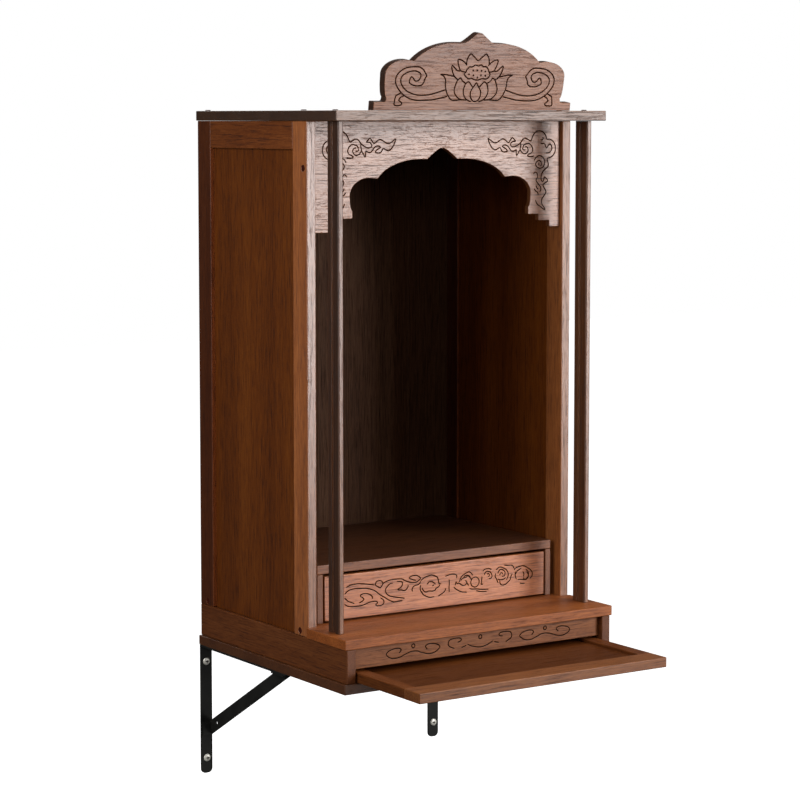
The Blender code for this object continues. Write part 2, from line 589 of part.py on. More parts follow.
# the two framed sides; the lower rail runs forward as the end of the base
plug_rear = -PLUG_REAR_INSET
plug_front = Y_STILE_FRONT + PLUG_FRONT_INSET
plug_top = Y_STILE_FRONT + PLUG_TOP_INSET
z_plug_low = Z_PLATFORM + PLATFORM_THICK / 2
z_plug_high = Z_VALANCE_TOP - PLUG_TOP_DROP
for tag, side in (("left", -1), ("right", 1)):
    x_span = sorted((side * HALF, side * INNER))
    z_stile = Z_BASE_TOP + JOINT_GAP
    z_rail = Z_SIDE_TOP - TOP_RAIL_HEIGHT
    y_rear = (-STILE_WIDTH, 0.0)
    y_front = (Y_STILE_FRONT, Y_STILE_FRONT + STILE_WIDTH)
    y_mid = (y_front[1] + JOINT_GAP, y_rear[0] - JOINT_GAP)
    rear = box(tag + "_rear_stile", x_span, y_rear, (z_stile, Z_SIDE_TOP), WOOD)
    front = box(tag + "_front_stile", x_span, y_front, (z_stile, Z_SIDE_TOP), WOOD)
    box(tag + "_top_rail", x_span, y_mid, (z_rail, Z_SIDE_TOP), WOOD)
    box(tag + "_base_side", x_span, (-BASE_DEPTH, 0.0), (Z_BASE, Z_BASE_TOP), WOOD)
    x_skin = side * (HALF - SIDE_PANEL_RECESS)
    x_core = side * (HALF - SIDE_PANEL_RECESS - SIDE_PANEL_THICK)
    panel_x = sorted((x_skin, x_core))
    box(tag + "_side_panel", panel_x, y_mid, (z_stile, z_rail - JOINT_GAP), WOOD, False)
    spots = ((rear, "rear", plug_rear, z_plug_low), (front, "front", plug_front, z_plug_low),
        (front, "top", plug_top, z_plug_high))
    for stile, word, y, z in spots:
        out = side * (HALF + 0.001)
        deep = side * (HALF - PLUG_DEPTH)
        hole = disc(tag + "_plug_cutter_" + word, (y, z),
            "X", PLUG_RADIUS + PLUG_CLEARANCE, deep, out, PLUG)
        cut(stile, hole)
        face = side * HALF
        seat = side * (HALF - PLUG_DEPTH + JOINT_GAP)
        smooth_round(disc(tag + "_" + word + "_plug", (y, z), "X", PLUG_RADIUS, seat, face, PLUG))

# back boards with shallow upright seams on the inside
x_back = INNER - JOINT_GAP
back = box("back_panel", (-x_back, x_back), (Y_BACK_FRONT, -BACK_INSET),
    (Z_PLATFORM_TOP + JOINT_GAP, Z_SIDE_TOP), DARK)
seam_count = int(x_back // BACK_BOARD_WIDTH)
seams = [i * BACK_BOARD_WIDTH - BACK_BOARD_WIDTH / 2 for i in range(-seam_count + 1, seam_count + 1)]
for i, x in enumerate(seams):
    w = BACK_SEAM_WIDTH / 2
    y_face = Y_BACK_FRONT
    outline = [(x - 2 * w, y_face - BACK_SEAM_DEPTH), (x + 2 * w, y_face - BACK_SEAM_DEPTH),
        (x, y_face + BACK_SEAM_DEPTH)]
    groove = prism("back_seam_cutter_" + str(i + 1),
        outline, "Z", Z_PLATFORM_TOP - 0.01, Z_SIDE_TOP + 0.01, DARK)
    cut(back, groove)

# rail across the back of the base, which bears on the wall
x_in = INNER - JOINT_GAP
box("base_rear_rail", (-x_in, x_in), (-BASE_RAIL_THICK, 0.0), (Z_BASE, Z_BASE_TOP), WOOD, False)

# platform: full width in front of the stiles, between the sides behind them
nose = HALF + PLATFORM_OVERHANG
y_nose = -(BASE_DEPTH + PLATFORM_NOSE)
y_notch = Y_STILE_FRONT - JOINT_GAP
plan = [(-nose, y_nose), (nose, y_nose), (nose, y_notch), (x_in, y_notch), (x_in, -BACK_INSET),
    (-x_in, -BACK_INSET), (-x_in, y_notch), (-nose, y_notch)]
ease(prism("platform_board", plan, "Z", Z_PLATFORM, Z_PLATFORM_TOP, WOOD))

# carved apron under the platform
y_apron = -(BASE_DEPTH - APRON_SETBACK)
apron = box("apron", (-x_in, x_in), (y_apron, y_apron + APRON_THICK),
    (Z_BASE_TOP - APRON_HEIGHT, Z_BASE_TOP), PALE)
apron_lines = fitted(apron_scroll(CARVE_SAMPLES), APRON_DRAWN, (x_in, APRON_HEIGHT))
carve(apron, shifted(apron_lines, CARVE_OFFSET, Z_BASE_TOP - APRON_HEIGHT / 2), y_apron)

# top board
x_top = HALF + TOP_OVERHANG
box("top_board", (-x_top, x_top), (-TOP_DEPTH, 0.0), (Z_TOP, Z_TOP_TOP), WOOD)

# crest with its lotus and scrolls
crest_low = Z_TOP_TOP + JOINT_GAP
y_crest = -(TOP_DEPTH - CREST_SETBACK)
loop = mirrored_loop(crest_half())
crest = lean(prism("crest", loop, "Y", 0.0, CREST_THICK, PALE), y_crest, crest_low, True)
crest_lines = lotus(CARVE_SAMPLES) + both_sides(crest_scroll(2 * CARVE_SAMPLES))
crest_lines = fitted(crest_lines, CREST_DRAWN, (CREST_HALF, CREST_PEAK_HEIGHT))
lean(carve(crest, crest_lines, 0.0), y_crest, crest_low, False)

# arched valance between the front stiles
edge = [(p[0], Z_VALANCE_TOP - p[1]) for p in arch_half()]
z_foot = Z_VALANCE_TOP - FOOT_STEP_DEPTHS[-1]
ends = [(x_in, z_foot), (x_in, Z_VALANCE_TOP), (-x_in, Z_VALANCE_TOP), (-x_in, z_foot)]
loop = [(p[0] + ARCH_OFFSET, p[1]) for p in edge] + ends
loop += [(ARCH_OFFSET - p[0], p[1]) for p in reversed(edge[1:])]
valance = prism("valance", loop, "Y", Y_VALANCE, Y_VALANCE + VALANCE_THICK, PALE)
clouds = fitted(both_sides(corner_cloud(CARVE_SAMPLES)),
    VALANCE_DRAWN, (VALANCE_HALF, FOOT_STEP_DEPTHS[-1]))
carve(valance, shifted(clouds, ARCH_OFFSET, Z_VALANCE_TOP, True), Y_VALANCE)

# free-standing columns with a groove down each broad side
for tag, side in (("left", -1), ("right", 1)):
    x_out = side * COLUMN_OUTER
    x_inner = side * (COLUMN_OUTER - COLUMN_WIDTH)
    y0 = -COLUMN_FRONT
    y1 = y0 + COLUMN_DEPTH
    g0 = y0 + (COLUMN_DEPTH - COLUMN_GROOVE_WIDTH) / 2
    g1 = g0 + COLUMN_GROOVE_WIDTH
    d = side * COLUMN_GROOVE_DEPTH
    r = side * 0.0015
    plan = [(x_out - r, y0), (x_out, y0 + abs(r)), (x_out, g0), (x_out - d, g0),
        (x_out - d, g1), (x_out, g1), (x_out, y1)]
    plan += [(x_inner, y1), (x_inner, g1), (x_inner + d, g1), (x_inner + d, g0),
        (x_inner, g0), (x_inner, y0 + abs(r)), (x_inner + r, y0)]
    prism(tag + "_column", plan, "Z", Z_PLATFORM_TOP + JOINT_GAP, Z_TOP - JOINT_GAP, WOOD)

# caps over the screws in the top board
cap_y = (-CAP_INSET, Y_STILE_FRONT + CAP_INSET)
caps = [("rear", HALF - FRAME_THICK / 2, cap_y[0]), ("stile", HALF - FRAME_THICK / 2, cap_y[1])]
caps.append(("column", COLUMN_OUTER - COLUMN_WIDTH / 2, -COLUMN_FRONT + COLUMN_DEPTH / 2))
for tag, side in (("left", -1), ("right", 1)):
    for word, x, y in caps:
        low = Z_TOP_TOP + JOINT_GAP
        smooth_round(disc(tag + "_" + word + "_cap", (side * x, y),
            "Z", CAP_RADIUS, low, low + CAP_HEIGHT, PLUG))

# raised step: two sides, a shelf on top and a drawer inside
y_step = -STEP_FRONT
y_step_back = Y_BACK_FRONT - JOINT_GAP
step_half = INNER - STEP_SIDE_GAP
z_step = Z_PLATFORM_TOP + JOINT_GAP
box("step_shelf", (-step_half, step_half), (y_step, y_step_back), (Z_SHELF, Z_SHELF_TOP), WOOD)
step_inner = step_half - STEP_SIDE_THICK
for tag, side in (("left", -1), ("right", 1)):
    x_span = sorted((side * step_half, side * step_inner))
    box(tag + "_step_side", x_span, (y_step, y_step_back), (z_step, Z_SHELF - JOINT_GAP), WOOD)

drawer_half = step_inner - DRAWER_GAP_SIDE
face_low = Z_PLATFORM_TOP + DRAWER_GAP_BOTTOM
face_high = Z_SHELF - DRAWER_GAP_TOP
y_face_back = y_step + DRAWER_FRONT_THICK
face = box("drawer_front", (-drawer_half, drawer_half), (y_step, y_face_back),
    (face_low, face_high), PALE)
drawer_lines = fitted(drawer_scroll(CARVE_SAMPLES), DRAWER_DRAWN, (drawer_half, face_high - face_low))
carve(face, shifted(drawer_lines, 0.0, (face_low + face_high) / 2), y_step)
box_low = Z_PLATFORM_TOP + DRAWER_RUN_GAP
box_high = face_high - DRAWER_WALL_DROP
y_box = y_face_back + JOINT_GAP
y_box_end = y_step_back - DRAWER_END_GAP
for tag, side in (("left", -1), ("right", 1)):
    x_span = sorted((side * drawer_half, side * (drawer_half - DRAWER_WALL)))
    box("drawer_" + tag + "_side", x_span, (y_box, y_box_end), (box_low, box_high), WOOD, False)
inside = drawer_half - DRAWER_WALL - JOINT_GAP
box("drawer_back", (-inside, inside), (y_box_end - DRAWER_WALL, y_box_end), (box_low, box_high),
    WOOD, False)
floor_y = (y_box, y_box_end - DRAWER_WALL - JOINT_GAP)
box("drawer_floor", (-inside, inside), floor_y, (box_low, box_low + DRAWER_FLOOR_THICK), WOOD, False)

# sliding tray: a frame with a sunk panel, drawn out as in the photograph
tray_half = INNER - TRAY_GAP_SIDE
tray_length = BASE_DEPTH - BASE_RAIL_THICK - TRAY_END_GAP
y_tray = -(BASE_DEPTH + TRAY_OUT)
y_tray_end = y_tray + tray_length
tray_low = Z_BOTTOM + BOTTOM_THICK + TRAY_RUN_GAP
tray_high = tray_low + TRAY_THICK
tray_z = (tray_low, tray_high)
box("tray_front_rail", (-tray_half, tray_half), (y_tray, y_tray + TRAY_FRONT_RAIL), tray_z, WOOD)
box("tray_rear_rail", (-tray_half, tray_half), (y_tray_end - TRAY_FRONT_RAIL, y_tray_end), tray_z, WOOD)
rail_y = (y_tray + TRAY_FRONT_RAIL + JOINT_GAP, y_tray_end - TRAY_FRONT_RAIL - JOINT_GAP)
for tag, side in (("left", -1), ("right", 1)):
    x_span = sorted((side * tray_half, side * (tray_half - TRAY_SIDE_RAIL)))
    box("tray_" + tag + "_rail", x_span, rail_y, tray_z, WOOD)
panel_half = tray_half - TRAY_SIDE_RAIL - JOINT_GAP
panel_z = (tray_high - TRAY_PANEL_RECESS - TRAY_PANEL_THICK, tray_high - TRAY_PANEL_RECESS)
box("tray_panel", (-panel_half, panel_half), rail_y, panel_z, WOOD, False)

# wall brackets: a bent bar, a brace with turned tabs and two screws each
bar_top = Z_BOTTOM - JOINT_GAP
bar_low = bar_top - BAR_THICK
z_tip = Z_BOTTOM - BRACKET_DROP
slope = (BRACE_FOOT_DROP - BAR_THICK - 2 * JOINT_GAP) / (BRACE_TOP_REACH - BAR_THICK - JOINT_GAP)
rise = BAR_WIDTH / 2 * math.sqrt(1 + slope * slope)
run = rise / slope
for tag, x_mid, side in (("left", BRACKET_X_LEFT, 1), ("right", BRACKET_X_RIGHT, -1)):
    w = BAR_WIDTH / 2
    x0 = x_mid - w
    x1 = x_mid + w
    r = BRACKET_TIP_ROUND
    tip = bow((x1 - r, z_tip + r), (r, r), 0, -90, 4) + bow((x0 + r, z_tip + r), (r, r), -90, -180, 4)
    leg = prism(tag + "_bracket", [(x0, bar_top), (x1, bar_top)] + tip, "Y", -BAR_THICK, 0.0, STEEL)
    arm = box(tag + "_bracket_arm_joiner", (x0, x1), (-BRACKET_REACH, -BAR_THICK / 2),
        (bar_low, bar_top), STEEL, False)
    join_to(leg, arm)
    for word, drop in (("upper", SCREW_UPPER_DROP), ("lower", SCREW_LOWER_DROP)):
        z = Z_BOTTOM - drop
        hole = disc(tag + "_hole_cutter_" + word, (x_mid, z),
            "Y", SCREW_HOLE_RADIUS, -BAR_THICK - 0.002, 0.002, STEEL)
        cut(leg, hole)
        shank = disc(tag + "_shank_joiner_" + word, (x_mid, z),
            "Y", SCREW_SHANK_RADIUS, -BAR_THICK - 0.001, 0.0, ZINC)
        seat = -BAR_THICK - JOINT_GAP
        n = DISC_SIDES
        rim = [2 * math.pi * i / n for i in range(n)]
        rings = ((SCREW_HEAD_RADIUS, 0.0), (SCREW_HEAD_RADIUS * 0.97, 0.4),
            (SCREW_HEAD_RADIUS * 0.62, 1.0))
        verts = [(x_mid + q * math.cos(a),
            seat - h * SCREW_HEAD_HEIGHT, z + q * math.sin(a)) for q, h in rings for a in rim]
        faces = [tuple(range(n)), tuple(range(3 * n - 1, 2 * n - 1, -1))]
        faces += [(k + i, k + (i + 1) % n, k + n + (i + 1) % n, k + n + i) for k in (0,
            n) for i in range(n)]
        head = mesh_object(tag + "_" + word + "_screw", verts, faces, ZINC)
        join_to(head, shank)
        smooth_round(head)
    xb = x_mid + side * (w - BAR_THICK)
    xc = x_mid + side * w
    y_foot = -BAR_THICK - JOINT_GAP
    z_foot = Z_BOTTOM - BRACE_FOOT_DROP
    z_head = bar_low - JOINT_GAP
    y_head = -BRACE_TOP_REACH
    shape = [(y_foot, z_foot - rise), (y_foot, z_foot + rise), (y_head + run, z_head),
        (y_head - run, z_head)]
    brace = prism(tag + "_brace", shape, "X", xb, xc, STEEL)
    tab_x = sorted((xb + side * BAR_THICK / 2, xb - side * (BRACE_TAB - BAR_THICK)))
    foot = box(tag + "_foot_tab_joiner", tab_x, (y_foot - BAR_THICK, y_foot),
        (z_foot - rise + 0.0005, z_foot + rise - BAR_THICK), STEEL, False)
    head_y = (y_head - run + BAR_THICK, y_head + run - BAR_THICK)
    head_tab = box(tag + "_head_tab_joiner", tab_x, head_y, (z_head - BAR_THICK, z_head), STEEL, False)
    join_to(brace, foot)
    join_to(brace, head_tab)
    y_hole = y_foot - BRACE_HOLE_FROM_FOOT
    z_hole = z_foot + BRACE_HOLE_FROM_FOOT * slope
    hole = disc(tag + "_brace_hole_cutter", (y_hole, z_hole),
        "X", BRACE_HOLE_RADIUS, xb - 0.004, xc + 0.004, STEEL)
    cut(brace, hole)
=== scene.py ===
import bpy
import bmesh
import math
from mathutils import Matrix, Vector


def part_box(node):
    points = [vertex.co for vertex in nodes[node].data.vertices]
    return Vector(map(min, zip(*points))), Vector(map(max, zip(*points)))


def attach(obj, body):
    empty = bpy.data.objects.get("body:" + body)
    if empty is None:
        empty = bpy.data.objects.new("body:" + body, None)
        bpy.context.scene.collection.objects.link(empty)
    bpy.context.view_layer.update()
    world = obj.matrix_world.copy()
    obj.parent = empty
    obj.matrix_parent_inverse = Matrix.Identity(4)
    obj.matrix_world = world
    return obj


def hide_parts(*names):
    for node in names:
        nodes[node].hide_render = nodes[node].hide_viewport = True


# Household altar cabinet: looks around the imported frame. Metres, Z up, wall at Y = 0,
# front along -Y. Each CAD node keeps its shape or is replaced by a finer piece.
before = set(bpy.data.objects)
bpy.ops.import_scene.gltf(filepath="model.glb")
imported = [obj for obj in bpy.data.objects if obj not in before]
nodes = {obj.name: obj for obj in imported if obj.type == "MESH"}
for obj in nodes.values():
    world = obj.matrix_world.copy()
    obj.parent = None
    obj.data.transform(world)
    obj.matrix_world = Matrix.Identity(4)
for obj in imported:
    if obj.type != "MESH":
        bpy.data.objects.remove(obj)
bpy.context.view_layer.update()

MM = 0.001
# short lines between two traced points of a carved stroke
SAMPLES = 3
# forward lean and thickness of the crest board
LEAN = math.radians(8.2)
CREST_THICK = 0.014
# how far right of the middle the arch and the apron's carving sit
ARCH_OFFSET = 0.0035
APRON_OFFSET = 0.0013
# rounding of the carved boards' edges
EDGE_ROUND = 0.0007
# width and depth of the carved lines
CREST_GROOVE = (0.0020, 0.0011)
VALANCE_GROOVE = (0.0017, 0.0010)
LOW_GROOVE = (0.0018, 0.0010)
# shape of a line across, as shares of its half width and of its depth
GROOVE_SECTION = ((-1.15, -0.5), (-0.95, 0.15), (-0.55, 0.75), (0.0, 1.0), (0.55, 0.75),
    (0.95, 0.15), (1.15, -0.5))
# ends of the open lines are this much narrower
STROKE_END = 0.55
# seed dots of the lotus, each a cone with this many sides, as shares of depth and radius
SEED_RADIUS = 1.7 * MM
SEED_SIDES = 8
SEED_SECTION = ((-0.6, 1.2), (0.35, 0.8), (0.9, 0.35))
# screws: underside of the head, shank radius, half width and reach of the cross recess
SCREW_SEAT = -0.0033
SCREW_SHANK = 0.0022
CROSS_HALF = 0.00075
CROSS_REACH = 0.0029
CROSS_DEPTH = 0.0016
FLOOR_LEVEL = -0.95
# camera fitted to the photograph's straight edges, millimetres of lens, angles in degrees
CAMERA_PLACE = (-2.16667, -3.4972, 0.79107)
CAMERA_DIP = 5.256
CAMERA_HEADING = -33.382
CAMERA_SENSOR = 36.0
CAMERA_LENS = 114.521
CAMERA_SHIFT = -0.06


# materials
class Tree:
    # small helper that makes and joins shader nodes
    def __init__(self, name):
        self.mat = bpy.data.materials.new(name)
        self.mat.use_nodes = True
        self.tree = self.mat.node_tree
        self.shader = self.tree.nodes["Principled BSDF"]

    def node(self, kind, links=None, **values):
        n = self.tree.nodes.new("ShaderNode" + kind)
        for key, value in values.items():
            if hasattr(n, key):
                setattr(n, key, value)
            else:
                n.inputs[key].default_value = value
        for key, source in (links or {}).items():
            self.join(source, n.inputs[key])
        return n

    def join(self, source, target):
        self.tree.links.new(source, target)

    def maths(self, kind, a, b):
        n = self.tree.nodes.new("ShaderNodeMath")
        n.operation = kind
        for i, v in enumerate((a, b)):
            if isinstance(v, (int, float)):
                n.inputs[i].default_value = v
            else:
                self.join(v, n.inputs[i])
        return n.outputs[0]

    def between(self, value, lo, hi, out_lo=0.0, out_hi=1.0):
        n = self.tree.nodes.new("ShaderNodeMapRange")
        self.join(value, n.inputs[0])
        for i, v in enumerate((lo, hi, out_lo, out_hi)):
            n.inputs[i + 1].default_value = v
        return n.outputs[0]

    def ramp(self, value, stops):
        n = self.tree.nodes.new("ShaderNodeValToRGB")
        band = n.color_ramp
        while len(band.elements) < len(stops):
            band.elements.new(0.5)
        for e, (spot, colour) in zip(band.elements, stops):
            e.position = spot
            e.color = (colour[0], colour[1], colour[2], 1.0)
        self.join(value, n.inputs[0])
        return n.outputs[0]

    def blend(self, kind, factor, a, b):
        n = self.tree.nodes.new("ShaderNodeMix")
        n.data_type = "RGBA"
        n.blend_type = kind
        if isinstance(factor, (int, float)):
            n.inputs[0].default_value = factor
        else:
            self.join(factor, n.inputs[0])
        for i, v in ((6, a), (7, b)):
            if isinstance(v, tuple):
                n.inputs[i].default_value = (v[0], v[1], v[2], 1.0)
            else:
                self.join(v, n.inputs[i])
        return n.outputs[2]

    def noise(self, space, detail=3.0, rough=0.55, twist=0.0):
        n = self.node("TexNoise", {"Vector": space}, Scale=1.0, Detail=detail,
            Roughness=rough, Distortion=twist)
        return n.outputs[0]

    def stretched(self, axis, along, across, seed):
        # object coordinates squeezed so that a texture runs along the grain
        place = self.tree.nodes.new("ShaderNodeTexCoord").outputs["Object"]
        m = self.node("Mapping", {"Vector": place})
        m.inputs["Scale"].default_value = [along if k == axis else across for k in "XYZ"]
        m.inputs["Location"].default_value = (seed * 3.7, seed * 1.9 + 2, seed * 5.3)
        return m.outputs[0]

    def edge_rounding_and_mask(self, radius):
        # 1 on sharp edges, 0 on flat faces
        bevel = self.node("Bevel", Radius=radius)
        bevel.samples = 6
        flat = self.tree.nodes.new("ShaderNodeNewGeometry").outputs["Normal"]
        dot = self.node("VectorMath", operation="DOT_PRODUCT")
        self.join(bevel.outputs[0], dot.inputs[0])
        self.join(flat, dot.inputs[1])
        return bevel.outputs[0], self.between(dot.outputs["Value"], 0.99, 0.75)


# base tones of the stained wood, from the grain's dark lines to its pale bands
WOOD_TONES = ((0.085, 0.024, 0.0065), (0.190, 0.062, 0.0165), (0.300, 0.115, 0.0380))


def wood(name, axis, seed, level, rough=0.40, shine=0.5, relief=1.0, streaks=1.0,
        side_painted_shading=1.0, level_painted_shading=1.0):
    # level scales the base colour in red, green and blue; shine is the constant sheen; the last two
    # factors paint shade (below 1) or light (above 1) into the colour of faces turned sideways and
    # of level faces
    deep, mid, pale = ([c * k for c, k in zip(colour, level)] for colour in WOOD_TONES)
    t = Tree(name)
    t.shader.inputs["Specular IOR Level"].default_value = shine
    band = t.noise(t.stretched(axis, 1.6, 24, seed), 3, 0.5, 0.5)
    streak = t.noise(t.stretched(axis, 22, 560, seed + 3), 4, 0.65, 0.3)
    fibre = t.noise(t.stretched(axis, 60, 1100, seed + 5), 3, 0.65)
    pore = t.noise(t.stretched(axis, 95, 1500, seed + 7), 2, 0.5)
    cloud = t.noise(t.stretched(axis, 3, 5, seed + 11), 2, 0.5)
    dark_line = t.between(streak, 0.46, 0.30)
    dark_pore = t.between(pore, 0.40, 0.30)
    tone = t.maths("ADD", t.maths("MULTIPLY", band, 0.26), t.maths("MULTIPLY", streak, 0.42))
    tone = t.maths("ADD", tone, t.maths("MULTIPLY", fibre, 0.32))
    colour = t.ramp(tone, ((0.36, deep), (0.50, mid), (0.66, pale)))
    dark = (deep[0] * 0.35, deep[1] * 0.35, deep[2] * 0.35)
    colour = t.blend("MIX", t.maths("MULTIPLY", dark_line, 0.55 * streaks), colour, dark)
    colour = t.blend("MIX", t.maths("MULTIPLY", dark_pore, 0.5), colour, dark)
    wide = t.ramp(cloud, ((0.3, (0.88, 0.86, 0.84)), (0.7, (1.0, 1.0, 1.0))))
    colour = t.blend("MULTIPLY", 1.0, colour, wide)
    if side_painted_shading != 1.0 or level_painted_shading != 1.0:
        # painted light and shade: faces turned sideways (along X) and level faces (along Z) get a
        # darker or lighter base colour than the front, for how the light falls on them
        facing = t.tree.nodes.new("ShaderNodeNewGeometry").outputs["Normal"]
        split = t.tree.nodes.new("ShaderNodeSeparateXYZ")
        t.join(facing, split.inputs[0])
        for i, k in ((0, side_painted_shading), (2, level_painted_shading)):
            turned = t.between(t.maths("ABSOLUTE", split.outputs[i], 0.0), 0.45, 0.8)
            colour = t.blend("MULTIPLY", turned, colour, (k, k * 0.97, k * 0.94))
    # lighter colour along the sharp edges, in patches: partly rubbed-through wear, partly a painted
    # highlight on the lacquered edges
    rounded, edge_tint = t.edge_rounding_and_mask(0.0012)
    wear_and_highlight_patches = t.between(cloud, 0.35, 0.65, 0.15, 0.55)
    edge_tint = t.maths("MULTIPLY", edge_tint, wear_and_highlight_patches)
    edge_wear_and_highlight_tone = (min(pale[0] * 1.5, 1.0), pale[1] * 1.5, pale[2] * 1.6)
    colour = t.blend("MIX", edge_tint, colour, edge_wear_and_highlight_tone)
    t.join(colour, t.shader.inputs["Base Color"])
    gloss = t.maths("ADD", t.maths("MULTIPLY", dark_line, 0.25), t.maths("MULTIPLY", fibre, 0.16))
    gloss = t.maths("ADD", gloss, t.maths("MULTIPLY", dark_pore, 0.15))
    t.join(t.maths("ADD", gloss, rough - 0.08), t.shader.inputs["Roughness"])
    height = t.maths("MULTIPLY", dark_line, -0.7)
    height = t.maths("ADD", height, t.maths("MULTIPLY", fibre, 0.6))
    height = t.maths("ADD", height, t.maths("MULTIPLY", dark_pore, -0.5))
    bump = t.node("Bump", {"Height": height, "Normal": rounded}, Strength=0.45 * relief,
        Distance=0.00025)
    t.join(bump.outputs[0], t.shader.inputs["Normal"])
    return t.mat


wood_plain = wood("board_wood", "X", 1, (0.52, 0.50, 0.50), rough=0.42, shine=0.45, relief=1.0,
    streaks=1.0, side_painted_shading=0.8)
wood_top = wood("top_board_wood", "X", 14, (0.62, 0.70, 0.85), rough=0.42, shine=0.70,
    relief=1.8, streaks=2.0, side_painted_shading=0.35)
wood_platform = wood("platform_wood", "X", 15, (1.35, 1.12, 0.76), rough=0.46, shine=0.30,
    relief=0.8, streaks=0.8, side_painted_shading=1.0, level_painted_shading=0.86)
wood_shelf = wood("shelf_wood", "X", 16, (0.85, 0.72, 0.50), rough=0.42, shine=0.45, relief=1.0,
    streaks=1.0, side_painted_shading=1.0, level_painted_shading=0.36)
wood_step = wood("step_side_wood", "Y", 17, (0.75, 0.64, 0.48), rough=0.44, shine=0.45,
    relief=1.0, streaks=1.0, side_painted_shading=0.7)
wood_tray = wood("tray_panel_wood", "X", 18, (0.42, 0.33, 0.20), rough=0.42, shine=0.12,
    relief=0.8, streaks=0.8)
wood_tray_x = wood("tray_front_wood", "X", 19, (0.90, 0.84, 0.66), rough=0.44, shine=0.42,
    relief=1.0, streaks=1.0)
wood_tray_y = wood("tray_side_wood", "Y", 20, (0.64, 0.54, 0.38), rough=0.46, shine=0.18,
    relief=0.8, streaks=0.8, side_painted_shading=0.8)
wood_base = wood("base_side_wood", "Y", 2, (0.58, 0.48, 0.38), rough=0.42, shine=0.30)
wood_rail = wood("rail_wood", "Y", 21, (0.74, 0.58, 0.40), rough=0.42, shine=0.30)
wood_rear = wood("rear_stile_wood", "Z", 22, (1.10, 0.80, 0.66), rough=0.42, shine=0.25,
    relief=1.0, streaks=1.0, side_painted_shading=0.32)
wood_stile = wood("front_stile_wood", "Z", 3, (1.10, 1.05, 0.95), rough=0.35, shine=0.90,
    relief=1.0, streaks=1.2, side_painted_shading=1.50)
wood_stile_right = wood("right_stile_wood", "Z", 24, (0.98, 0.98, 0.92), rough=0.38, shine=0.66,
    relief=1.0, streaks=1.4, side_painted_shading=1.50)
wood_panel = wood("panel_wood", "Z", 4, (0.62, 0.45, 0.14), rough=0.42, shine=0.25, relief=1.0,
    streaks=1.3)
# the two columns share one wood; the left column's sides carry stronger painted shade than the
# right column's
wood_column = wood("column_wood", "Z", 5, (0.80, 0.80, 0.85), rough=0.38, shine=0.72,
    relief=1.0, streaks=1.2, side_painted_shading=0.26)
wood_column_right = wood("right_column_wood", "Z", 25, (0.80, 0.80, 0.85), rough=0.38,
    shine=0.72, relief=1.0, streaks=1.2, side_painted_shading=0.50)
wood_front = wood("valance_wood", "X", 6, (1.25, 1.22, 1.22), rough=0.38, shine=0.83,
    relief=1.5, streaks=1.7, side_painted_shading=0.6, level_painted_shading=0.6)
wood_crest = wood("crest_board_wood", "X", 12, (0.94, 0.90, 0.88), rough=0.43, shine=0.51,
    relief=1.1, streaks=1.0, side_painted_shading=0.16, level_painted_shading=0.22)
wood_drawer = wood("drawer_face_wood", "X", 8, (1.80, 1.52, 1.22), rough=0.40, shine=0.68,
    relief=1.2, streaks=1.2)
wood_apron = wood("apron_wood", "X", 23, (0.92, 0.86, 0.78), rough=0.42, shine=0.24, relief=1.2,
    streaks=1.1)
wood_back = wood("back_board_wood", "Z", 9, (0.34, 0.42, 0.62), rough=0.62, shine=0.12)


def burnt_groove():
    t = Tree("burnt_groove")
    grain = t.noise(t.stretched("X", 120, 700, 2), 3)
    colour = t.ramp(grain, ((0.35, (0.008, 0.003, 0.002)), (0.7, (0.030, 0.012, 0.006))))
    t.join(colour, t.shader.inputs["Base Color"])
    t.join(t.between(grain, 0.3, 0.7, 0.7, 0.95), t.shader.inputs["Roughness"])
    t.shader.inputs["Specular IOR Level"].default_value = 0.08
    bump = t.node("Bump", {"Height": grain}, Strength=0.5, Distance=0.0002)
    t.join(bump.outputs[0], t.shader.inputs["Normal"])
    return t.mat


def painted_steel():
    t = Tree("black_painted_steel")
    speck = t.noise(t.stretched("X", 900, 900, 3), 2)
    patch = t.noise(t.stretched("X", 22, 22, 5), 4)
    colour = t.ramp(patch, ((0.35, (0.006, 0.006, 0.0055)), (0.7, (0.016, 0.016, 0.014))))
    rounded, edge_tint = t.edge_rounding_and_mask(0.0008)
    edge_tint = t.maths("MULTIPLY", edge_tint, t.between(patch, 0.45, 0.65, 0.0, 0.6))
    colour = t.blend("MIX", edge_tint, colour, (0.09, 0.085, 0.075))
    t.join(colour, t.shader.inputs["Base Color"])
    t.join(t.between(patch, 0.3, 0.7, 0.60, 0.74), t.shader.inputs["Roughness"])
    t.shader.inputs["Specular IOR Level"].default_value = 0.2
    bump = t.node("Bump", {"Height": speck, "Normal": rounded}, Strength=0.25, Distance=0.0001)
    t.join(bump.outputs[0], t.shader.inputs["Normal"])
    return t.mat


def plated_screw():
    t = Tree("plated_screw")
    fine = t.noise(t.stretched("X", 1400, 1400, 4), 3)
    patch = t.noise(t.stretched("X", 260, 260, 6), 3)
    colour = t.ramp(patch, ((0.35, (0.60, 0.57, 0.50)), (0.7, (0.86, 0.84, 0.77))))
    t.join(colour, t.shader.inputs["Base Color"])
    t.shader.inputs["Metallic"].default_value = 0.35
    t.join(t.between(patch, 0.3, 0.7, 0.28, 0.46), t.shader.inputs["Roughness"])
    bump = t.node("Bump", {"Height": fine}, Strength=0.2, Distance=0.0001)
    t.join(bump.outputs[0], t.shader.inputs["Normal"])
    return t.mat


burnt = burnt_groove()
steel = painted_steel()
zinc = plated_screw()
plug_wood = wood("plug_wood", "X", 12, (0.24, 0.10, 0.10), rough=0.55, shine=0.12)


# outlines of the carved boards, the same as the solids' but with finer steps
def bow(centre, radii, start, end, steps):
    # an arc of an ellipse, with angles in degrees
    angles = [math.radians(start + (end - start) * i / steps) for i in range(steps + 1)]
    return [(centre[0] + radii[0] * math.cos(a), centre[1] + radii[1] * math.sin(a))
        for a in angles]


